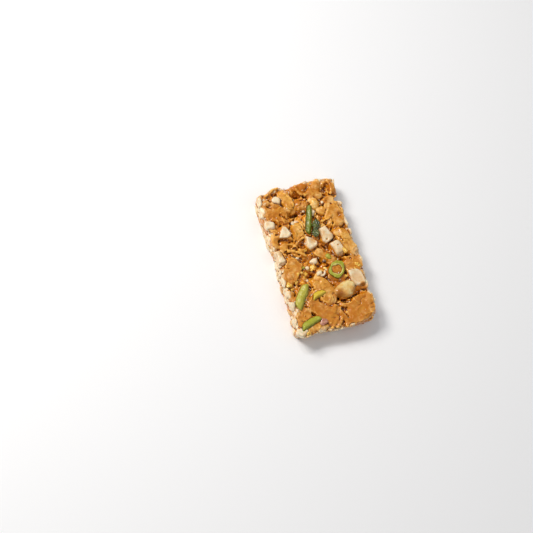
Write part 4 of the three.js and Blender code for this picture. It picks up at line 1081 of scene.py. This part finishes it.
def ramp(tree, factor, stops):
    made = node(tree, "ShaderNodeValToRGB", links={"Fac": factor})
    elements = made.color_ramp.elements
    while len(elements) < len(stops):
        elements.new(0.5)
    for element, (place, colour) in zip(elements, stops):
        element.position = place
        element.color = linear(colour)
    return made.outputs["Color"]


def mixColour(tree, factor, a, b, blend="MIX"):
    made = tree.nodes.new("ShaderNodeMix")
    made.data_type = "RGBA"
    made.blend_type = blend
    made.clamp_result = True
    for socket, value in ((made.inputs[0], factor), (made.inputs[6], a), (made.inputs[7], b)):
        if isinstance(value, bpy.types.NodeSocket):
            tree.links.new(value, socket)
        else:
            socket.default_value = linear(value) if isinstance(value, str) else value
    return made.outputs[2]


def attribute(tree, name):
    return node(tree, "ShaderNodeAttribute", {"attribute_name": name}).outputs["Fac"]


def math2(tree, operation, a, b):
    made = node(tree, "ShaderNodeMath", {"operation": operation})
    for socket, value in ((made.inputs[0], a), (made.inputs[1], b)):
        if isinstance(value, bpy.types.NodeSocket):
            tree.links.new(value, socket)
        else:
            socket.default_value = value
    return made.outputs[0]


def mapRange(tree, value, low, high, toLow=0.0, toHigh=1.0):
    made = node(tree, "ShaderNodeMapRange", {"interpolation_type": "SMOOTHSTEP"}, {"Value": value})
    for key, number in (("From Min", low), ("From Max", high), ("To Min", toLow), ("To Max", toHigh)):
        made.inputs[key].default_value = number
    return made.outputs["Result"]


def noise(tree, size, detail=3.0, roughness=0.55, distortion=0.0):
    # lumps of about this size in millimetres, on Object coordinates
    place = node(tree, "ShaderNodeTexCoord").outputs["Object"]
    made = node(tree, "ShaderNodeTexNoise", links={"Vector": place}, Scale=1000 / size, Detail=detail,
                Roughness=roughness, Distortion=distortion)
    return made.outputs["Fac"]


def startMaterial(name):
    made = bpy.data.materials.new(name)
    made.use_nodes = True
    tree = made.node_tree
    return made, tree, tree.nodes["Principled BSDF"]


def bump(tree, height, distance, strength=1.0, below=None):
    links = {"Height": height}
    if below is not None:
        links["Normal"] = below
    return node(tree, "ShaderNodeBump", links=links, Strength=strength, Distance=distance * mm).outputs["Normal"]


def boiledCaramel():
    # boiled sugar, poured over nuts and pressed: tan and satin where the press touched it, glassy golden amber on the
    # slopes, dark brown in the hollows (partly deeper caramel, partly painted shade), paler where a nut lies just under
    # it
    made, tree, shader = startMaterial("boiled_caramel")
    hollow = attribute(tree, "hollow")
    crease = attribute(tree, "crease")
    pressed = attribute(tree, "pressed")
    cloud = noise(tree, 2.4, 3, 0.55, 0.4)
    streaks = noise(tree, 3.6, 3, 0.55, 1.4)
    flecks = noise(tree, 0.8, 3, 0.6)
    tone = math2(tree, "ADD", attribute(tree, "plateTone"), mapRange(tree, streaks, 0.3, 0.7, -0.16, 0.16))
    satin = ramp(tree, tone, [(0.0, "#bc700e"), (0.3, "#ba7018"), (0.5, "#c68228"), (0.75, "#dea44a"), (1.0, "#f6d08a")])
    glassy = ramp(tree, tone, [(0.0, "#bd6c06"), (0.3, "#c27008"), (0.55, "#d28614"), (1.0, "#e8ac42")])
    satinShare = mapRange(tree, math2(tree, "MULTIPLY", pressed, mapRange(tree, tone, 0.1, 0.3, 0.2, 1.0)), 0.0, 0.8)
    colour = mixColour(tree, satinShare, glassy, satin)
    nutShare = math2(tree, "MULTIPLY", attribute(tree, "nutBelow"), mapRange(tree, cloud, 0.38, 0.62, 0.15, 0.85))
    nutShare = math2(tree, "MULTIPLY", nutShare, mapRange(tree, tone, 0.3, 0.6, 0.3, 1.0))
    colour = mixColour(tree, nutShare, colour, "#ecbf78")
    # lighter golden on ridges: partly the thin caramel at the edges, partly painted highlight
    colour = mixColour(tree, mapRange(tree, crease, -0.04, -0.16, 0.0, 0.8), colour, "#f4bc5c")
    # darker in the creases: painted shade
    colour = mixColour(tree, mapRange(tree, crease, 0.03, 0.15, 0.0, 0.88), colour, "#703204")
    amberShare = math2(tree, "MULTIPLY", attribute(tree, "amber"), mapRange(tree, cloud, 0.3, 0.6, 0.6, 1.0))
    colour = mixColour(tree, amberShare, colour, "#b46602")
    colour = mixColour(tree, mapRange(tree, flecks, 0.64, 0.76, 0.0, 0.2), colour, "#8a4a10")
    # darker brown down in the hollows: partly the deeper caramel there, partly painted shade
    depth = math2(tree, "ADD", hollow, mapRange(tree, flecks, 0.3, 0.7, -0.04, 0.04))
    colour = mixColour(tree, mapRange(tree, depth, 0.05, 0.22), colour, "#723605")
    colour = mixColour(tree, mapRange(tree, depth, 0.17, 0.34), colour, "#441b04")
    tree.links.new(colour, shader.inputs["Base Color"])
    gloss = math2(tree, "ADD", mapRange(tree, pressed, 0.2, 1.0, 0.18, 0.5), mapRange(tree, cloud, 0.35, 0.7, -0.05, 0.08))
    tree.links.new(gloss, shader.inputs["Roughness"])
    shader.inputs["IOR"].default_value = 1.5
    shader.inputs["Specular IOR Level"].default_value = 0.28
    shader.inputs["Subsurface Weight"].default_value = 0.12
    shader.inputs["Subsurface Radius"].default_value = (1.0, 0.5, 0.14)
    shader.inputs["Subsurface Scale"].default_value = 1.0 * mm
    shader.inputs["Coat Roughness"].default_value = 0.1
    coat = mapRange(tree, pressed, 0.2, 0.9, 0.5, 0.02)
    tree.links.new(coat, shader.inputs["Coat Weight"])
    fine = bump(tree, noise(tree, 0.6, 3, 0.6), 0.04, 0.5)
    tree.links.new(bump(tree, noise(tree, 2.0, 3, 0.55, 1.0), 0.12, 0.5, fine), shader.inputs["Normal"])
    return made


def blanchedPeanut(name, pale, deep, syrup, rough):
    # blanched peanut, chopped: pale ivory, faintly mottled, amber where syrup has wetted it
    made, tree, shader = startMaterial(name)
    mottle = noise(tree, 2.4, 3, 0.55)
    colour = mixColour(tree, mapRange(tree, mottle, 0.38, 0.68), pale, deep)
    colour = mixColour(tree, mapRange(tree, attribute(tree, "tone"), 0.5, 1.0, 0.0, 0.75), colour, "#d8a868")
    wetShare = math2(tree, "MULTIPLY", attribute(tree, "wet"), mapRange(tree, noise(tree, 2.2, 3), 0.35, 0.6, 0.25, 0.9))
    colour = mixColour(tree, mapRange(tree, wetShare, 0.2, 0.8, 0.0, 0.8), colour, syrup[0])
    # stains of syrup; the broad nut's wide middle stain is partly painted shade
    stainShare = math2(tree, "MULTIPLY", attribute(tree, "stain"), mapRange(tree, mottle, 0.3, 0.6, 0.75, 1.0))
    colour = mixColour(tree, mapRange(tree, stainShare, 0.0, 0.6, 0.0, 0.8), colour, syrup[0])
    colour = mixColour(tree, mapRange(tree, stainShare, 0.5, 1.0), colour, syrup[1])
    # tinted darker towards syrup amber in creases: painted shade
    colour = mixColour(tree, mapRange(tree, attribute(tree, "crease"), 0.12, 0.3, 0.0, 0.3), colour, syrup[0])
    tree.links.new(colour, shader.inputs["Base Color"])
    shader.inputs["Roughness"].default_value = rough
    shader.inputs["IOR"].default_value = 1.47
    shader.inputs["Subsurface Weight"].default_value = 0.25
    shader.inputs["Subsurface Radius"].default_value = (1.0, 0.65, 0.35)
    shader.inputs["Subsurface Scale"].default_value = 0.8 * mm
    grain = bump(tree, noise(tree, 0.45, 4, 0.65), 0.06, 0.6)
    tree.links.new(bump(tree, noise(tree, 1.5, 3), 0.16, 0.55, grain), shader.inputs["Normal"])
    return made


def pistachioKernel(name, bright, dark, pale):
    # green pistachio, sliced lengthways: painted shade on its sides and on one flank, darker and paler streaks, the
    # ring's cut lip nearly white
    made, tree, shader = startMaterial(name)
    place = node(tree, "ShaderNodeCombineXYZ", links={"X": attribute(tree, "along"), "Y": attribute(tree, "flank")})
    stretched = node(tree, "ShaderNodeVectorMath", {"operation": "MULTIPLY"}, {0: place.outputs[0]})
    stretched.inputs[1].default_value = (1.3, 3.2, 1.0)
    streaks = node(tree, "ShaderNodeTexNoise", links={"Vector": stretched.outputs[0]}, Scale=1.6, Detail=4.0,
                   Roughness=0.6).outputs["Fac"]
    grain = noise(tree, 1.1, 4, 0.6, 0.8)
    # lighter where the surface faces up, darker on the sides: painted light and shade
    up = node(tree, "ShaderNodeSeparateXYZ", links={0: node(tree, "ShaderNodeNewGeometry").outputs["Normal"]})
    colour = mixColour(tree, mapRange(tree, up.outputs["Z"], 0.1, 0.85), dark, bright)
    # darker on one flank: painted shade
    colour = mixColour(tree, mapRange(tree, attribute(tree, "flank"), -0.2, -0.7, 0.0, 0.8), colour, dark)
    colour = mixColour(tree, mapRange(tree, streaks, 0.5, 0.66, 0.0, 0.75), colour, pale)
    colour = mixColour(tree, mapRange(tree, streaks, 0.46, 0.32, 0.0, 0.6), colour, dark)
    colour = mixColour(tree, mapRange(tree, grain, 0.62, 0.74, 0.0, 0.4), colour, pale)
    colour = mixColour(tree, mapRange(tree, attribute(tree, "lip"), 0.1, 0.9, 0.0, 0.7), colour, "#dccb80")
    colour = mixColour(tree, mapRange(tree, attribute(tree, "wet"), 0.5, 1.0, 0.0, 0.45), colour, "#7a5210")
    tree.links.new(colour, shader.inputs["Base Color"])
    shader.inputs["Roughness"].default_value = 0.42
    shader.inputs["IOR"].default_value = 1.47
    shader.inputs["Subsurface Weight"].default_value = 0.15
    shader.inputs["Subsurface Radius"].default_value = (0.8, 1.0, 0.2)
    shader.inputs["Subsurface Scale"].default_value = 0.6 * mm
    shader.inputs["Coat Weight"].default_value = 0.2
    shader.inputs["Coat Roughness"].default_value = 0.15
    height = math2(tree, "ADD", streaks, grain)
    tree.links.new(bump(tree, height, 0.2, 0.6), shader.inputs["Normal"])
    return made


def driedLeaf():
    # a dried herb leaf, wet with syrup: nearly black green with glossy folds
    made, tree, shader = startMaterial("dried_herb_leaf")
    colour = mixColour(tree, mapRange(tree, noise(tree, 1.3, 4, 0.6), 0.35, 0.68), "#1e3008", "#6c7430")
    tree.links.new(colour, shader.inputs["Base Color"])
    shader.inputs["Roughness"].default_value = 0.28
    shader.inputs["Coat Weight"].default_value = 0.8
    shader.inputs["Coat Roughness"].default_value = 0.1
    tree.links.new(bump(tree, noise(tree, 0.6, 4), 0.12, 0.6), shader.inputs["Normal"])
    return made


def syrupedBit(name, main, second, rough, coat):
    # a small bit stuck on by a drop of syrup, glossy and uneven in colour
    made, tree, shader = startMaterial(name)
    colour = mixColour(tree, mapRange(tree, noise(tree, 1.1, 3, 0.6), 0.38, 0.64), main, second)
    tree.links.new(colour, shader.inputs["Base Color"])
    shader.inputs["Roughness"].default_value = rough
    shader.inputs["Coat Weight"].default_value = coat
    shader.inputs["Coat Roughness"].default_value = 0.1
    shader.inputs["Subsurface Weight"].default_value = 0.3
    shader.inputs["Subsurface Radius"].default_value = (1.0, 0.6, 0.2)
    shader.inputs["Subsurface Scale"].default_value = 0.7 * mm
    tree.links.new(bump(tree, noise(tree, 0.5, 3), 0.05, 0.5), shader.inputs["Normal"])
    return made


print("materials")
boiled = boiledCaramel()
peanutMaterial = blanchedPeanut("blanched_peanut", "#ecdcbc", "#dfc296", ("#cf9548", "#b06c1c"), 0.45)
glazedMaterial = blanchedPeanut("glazed_peanut", "#e6cc8c", "#d6ac60", ("#c8882a", "#a46004"), 0.3)
for title, value in (("Coat Weight", 0.4), ("Coat Roughness", 0.22)):
    glazedMaterial.node_tree.nodes["Principled BSDF"].inputs[title].default_value = value
greenMaterial = pistachioKernel("pistachio_green", "#9ea026", "#54580a", "#b8b84a")
longMaterial = pistachioKernel("pistachio_dark", "#747c0e", "#343c02", "#92981e")
broadMaterial = pistachioKernel("pistachio_pale", "#aea636", "#858020", "#c4ba58")
yellowMaterial = pistachioKernel("pistachio_yellow", "#d2b42a", "#a88e16", "#e2cc54")
crumbMaterial = syrupedBit("caramel_crumb", "#a8600a", "#dc9e3c", 0.22, 0.5)
goldenMaterial = syrupedBit("golden_sugar_flake", "#dca632", "#f0cc66", 0.35, 0.3)
skinMaterial = syrupedBit("peanut_skin", "#a66452", "#c8957a", 0.4, 0.3)
seedMaterial = syrupedBit("dark_seed", "#3a2414", "#8a6a50", 0.2, 0.8)
materialOf = {"peanut_glazed": glazedMaterial, "pistachio_sliver_yellow": yellowMaterial,
              "pistachio_sliver_broad": broadMaterial,
              "pistachio_sliver_long": longMaterial, "herb_leaf": driedLeaf()}

caramel.data.materials.append(boiled)
peanutBits.data.materials.append(peanutMaterial)
for name, piece in seatedObjects.items():
    usual = peanutMaterial if name.startswith("peanut") else greenMaterial
    piece.data.materials.append(materialOf.get(name, usual))
for name, material in (("nut_chips", peanutMaterial), ("golden_flakes", goldenMaterial), ("green_bits", broadMaterial), ("pink_skin", skinMaterial),
                       ("dark_seeds", seedMaterial)):
    bitObjects[name].data.materials.append(material)


# ---------- crumbs and grains scattered over the caramel ----------
def link(tree, source, target):
    tree.links.new(source, target)
    return target.node


def enabledOutput(made):
    return next(socket for socket in made.outputs if socket.enabled)


def scatterTree(name):
    # small uneven grains on the faces where the surface's attribute "grainsHere" is high
    tree = bpy.data.node_groups.new(name, "GeometryNodeTree")
    tree.interface.new_socket("Geometry", in_out="INPUT", socket_type="NodeSocketGeometry")
    for title in ("Per square metre", "Smallest", "Largest", "Flatness", "Jag"):
        tree.interface.new_socket(title, in_out="INPUT", socket_type="NodeSocketFloat")
    tree.interface.new_socket("Seed", in_out="INPUT", socket_type="NodeSocketInt")
    tree.interface.new_socket("Material", in_out="INPUT", socket_type="NodeSocketMaterial")
    tree.interface.new_socket("Geometry", in_out="OUTPUT", socket_type="NodeSocketGeometry")
    given = node(tree, "NodeGroupInput").outputs
    where = node(tree, "GeometryNodeInputNamedAttribute", {"data_type": "FLOAT"}, Name="grainsHere")
    share = node(tree, "ShaderNodeMath", {"operation": "MULTIPLY"},
                 {0: enabledOutput(where), 1: given["Per square metre"]})
    spots = node(tree, "GeometryNodeDistributePointsOnFaces", {"distribute_method": "RANDOM"},
                 {"Mesh": given["Geometry"], "Density": share.outputs[0], "Seed": given["Seed"]})
    grain = node(tree, "GeometryNodeMeshIcoSphere", Radius=1.0, Subdivisions=2)
    size = node(tree, "FunctionNodeRandomValue", {"data_type": "FLOAT"},
                {2: given["Smallest"], 3: given["Largest"], "Seed": given["Seed"]})
    stretch = node(tree, "FunctionNodeRandomValue", {"data_type": "FLOAT_VECTOR"}, {"Seed": given["Seed"]})
    stretch.inputs[0].default_value = (0.7, 0.5, 0.4)
    stretch.inputs[1].default_value = (1.3, 1.0, 0.8)
    flat = node(tree, "ShaderNodeCombineXYZ", {}, {"Z": given["Flatness"]}, X=1.0, Y=1.0)
    shaped = node(tree, "ShaderNodeVectorMath", {"operation": "MULTIPLY"},
                  {0: enabledOutput(stretch), 1: flat.outputs[0]})
    scaled = node(tree, "ShaderNodeVectorMath", {"operation": "SCALE"},
                  {0: shaped.outputs[0], "Scale": enabledOutput(size)})
    spin = node(tree, "FunctionNodeRandomValue", {"data_type": "FLOAT_VECTOR"}, {"Seed": given["Seed"]})
    spin.inputs[0].default_value = (-0.6, -0.6, 0)
    spin.inputs[1].default_value = (0.6, 0.6, 2 * math.pi)
    placed = node(tree, "GeometryNodeInstanceOnPoints", {}, {"Points": spots.outputs["Points"],
                  "Instance": grain.outputs["Mesh"], "Rotation": enabledOutput(spin), "Scale": scaled.outputs[0]})
    real = node(tree, "GeometryNodeRealizeInstances", {}, {"Geometry": placed.outputs["Instances"]})
    lumpy = node(tree, "ShaderNodeTexNoise", Scale=1600.0, Detail=1.0)
    centred = node(tree, "ShaderNodeVectorMath", {"operation": "SUBTRACT"}, {0: lumpy.outputs["Color"]})
    centred.inputs[1].default_value = (0.5, 0.5, 0.5)
    push = node(tree, "ShaderNodeVectorMath", {"operation": "SCALE"}, {0: centred.outputs[0], "Scale": given["Jag"]})
    jagged = node(tree, "GeometryNodeSetPosition", {}, {"Geometry": real.outputs["Geometry"], "Offset": push.outputs[0]})
    smooth = node(tree, "GeometryNodeSetShadeSmooth", {}, {"Geometry": jagged.outputs["Geometry"]})
    finished = node(tree, "GeometryNodeSetMaterial", {}, {"Geometry": smooth.outputs[0],
                    "Material": given["Material"]})
    end = node(tree, "NodeGroupOutput")
    tree.links.new(finished.outputs["Geometry"], end.inputs["Geometry"])
    return tree


grainKinds = {
    "pale_grains": {"Per square metre": 0.14e6, "Smallest": 0.2, "Largest": 0.55, "Flatness": 0.9, "Jag": 0.25,
                    "Seed": 4, "material": peanutMaterial},
    "caramel_crumbs": {"Per square metre": 0.15e6, "Smallest": 0.25, "Largest": 0.8, "Flatness": 0.6, "Jag": 0.5,
                       "Seed": 9, "material": crumbMaterial},
}
grainTree = scatterTree("scattered_grains")
lengths = ("Smallest", "Largest", "Jag")
for name, kind in grainKinds.items():
    piece = bpy.data.objects.new(name, caramel.data)
    bpy.context.scene.collection.objects.link(piece)
    modifier = piece.modifiers.new("grains", "NODES")
    modifier.node_group = grainTree
    for item in grainTree.interface.items_tree:
        if item.in_out == "INPUT" and item.name in kind:
            modifier[item.identifier] = kind[item.name] * (mm if item.name in lengths else 1)
        if item.in_out == "INPUT" and item.name == "Material":
            modifier[item.identifier] = kind["material"]
    applyModifiers(piece)
    for title in ("wet", "stain", "crease", "tone"):
        setAttribute(piece, title, np.zeros(len(piece.data.vertices)))
    print("  ", name, len(piece.data.polygons), "faces")
    bitObjects[name] = piece

# ---------- riding on the part ----------
slabSlots = {"nut_chips": "peanut", "golden_flakes": "caramel", "green_bits": "pistachio", "pink_skin": "peanut", "dark_seeds": "dried_leaf",
             "pale_grains": "peanut", "caramel_crumbs": "caramel"}
for piece, slot in [(caramel, "caramel"), (peanutBits, "peanut")] + [(bitObjects[k], slabSlots[k]) for k in bitObjects]:
    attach(piece, "root")
    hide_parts("brittle_slab")
for name, piece in seatedObjects.items():
    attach(piece, "root")
    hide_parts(name)

# ---------- floor, light and camera ----------
print("stage")
floorMesh = bpy.data.meshes.new("floor")
reach = 3.0
floorMesh.from_pydata([(-reach, -reach, 0), (reach, -reach, 0), (reach, reach, 0), (-reach, reach, 0)], [],
                      [(0, 1, 2, 3)])
floor = bpy.data.objects.new("floor", floorMesh)
bpy.context.scene.collection.objects.link(floor)
floorMaterial, floorTree, floorShader = startMaterial("white_table")
floorShader.inputs["Base Color"].default_value = (0.875, 0.892, 0.925, 1)
floorShader.inputs["Roughness"].default_value = 0.7
floorMesh.materials.append(floorMaterial)

# the photograph's view: right, up and back of the picture in the bar's own axes
view = {"right": (0.935, -0.282, 0.217), "up": (0.209, 0.929, 0.306), "back": (-0.288, -0.240, 0.927),
        "place": (-236.4, -170.7, 671.0), "lens": 85.0}
cameraData = bpy.data.cameras.new("camera")
cameraData.lens = view["lens"]
cameraData.sensor_width = 36
cameraData.clip_start = 0.01
camera = bpy.data.objects.new("camera", cameraData)
bpy.context.scene.collection.objects.link(camera)
back = Vector(view["back"]).normalized()
right = Vector(view["right"])
right = (right - back * right.dot(back)).normalized()
up = back.cross(right)
turn = Matrix((right, up, back)).transposed().to_4x4()
camera.matrix_world = Matrix.Translation(Vector(view["place"]) * mm) @ turn
bpy.context.scene.camera = camera

lamps = {"key": {"from": (-0.5, 0.62, 0.75), "distance": 0.9, "size": 0.28, "power": 6.3, "tint": "#fffaf3"},
         "spark": {"from": (-0.2, 0.75, 0.8), "distance": 0.8, "size": 0.07, "power": 0.8, "tint": "#ffffff"},
         "fill": {"from": (0.7, 0.1, 0.8), "distance": 1.1, "size": 0.9, "power": 1.5, "tint": "#fbf9f6"},
         "low": {"from": (-0.7, -0.5, 0.45), "distance": 1.1, "size": 0.8, "power": 1.6, "tint": "#ffffff"}}
for name, lamp in lamps.items():
    lampData = bpy.data.lights.new(name, "AREA")
    lampData.size = lamp["size"]
    lampData.energy = lamp["power"]
    lampData.color = linear(lamp["tint"])[:3]
    light = bpy.data.objects.new(name, lampData)
    bpy.context.scene.collection.objects.link(light)
    direction = (right * lamp["from"][0] + up * lamp["from"][1] + back * lamp["from"][2]).normalized()
    light.location = direction * lamp["distance"]
    light.rotation_euler = direction.to_track_quat("Z", "Y").to_euler()

world = bpy.data.worlds.new("studio")
world.use_nodes = True
world.node_tree.nodes["Background"].inputs["Color"].default_value = (1, 0.99, 0.975, 1)
world.node_tree.nodes["Background"].inputs["Strength"].default_value = 0.32
bpy.context.scene.world = world
bpy.context.scene.view_settings.view_transform = "Standard"
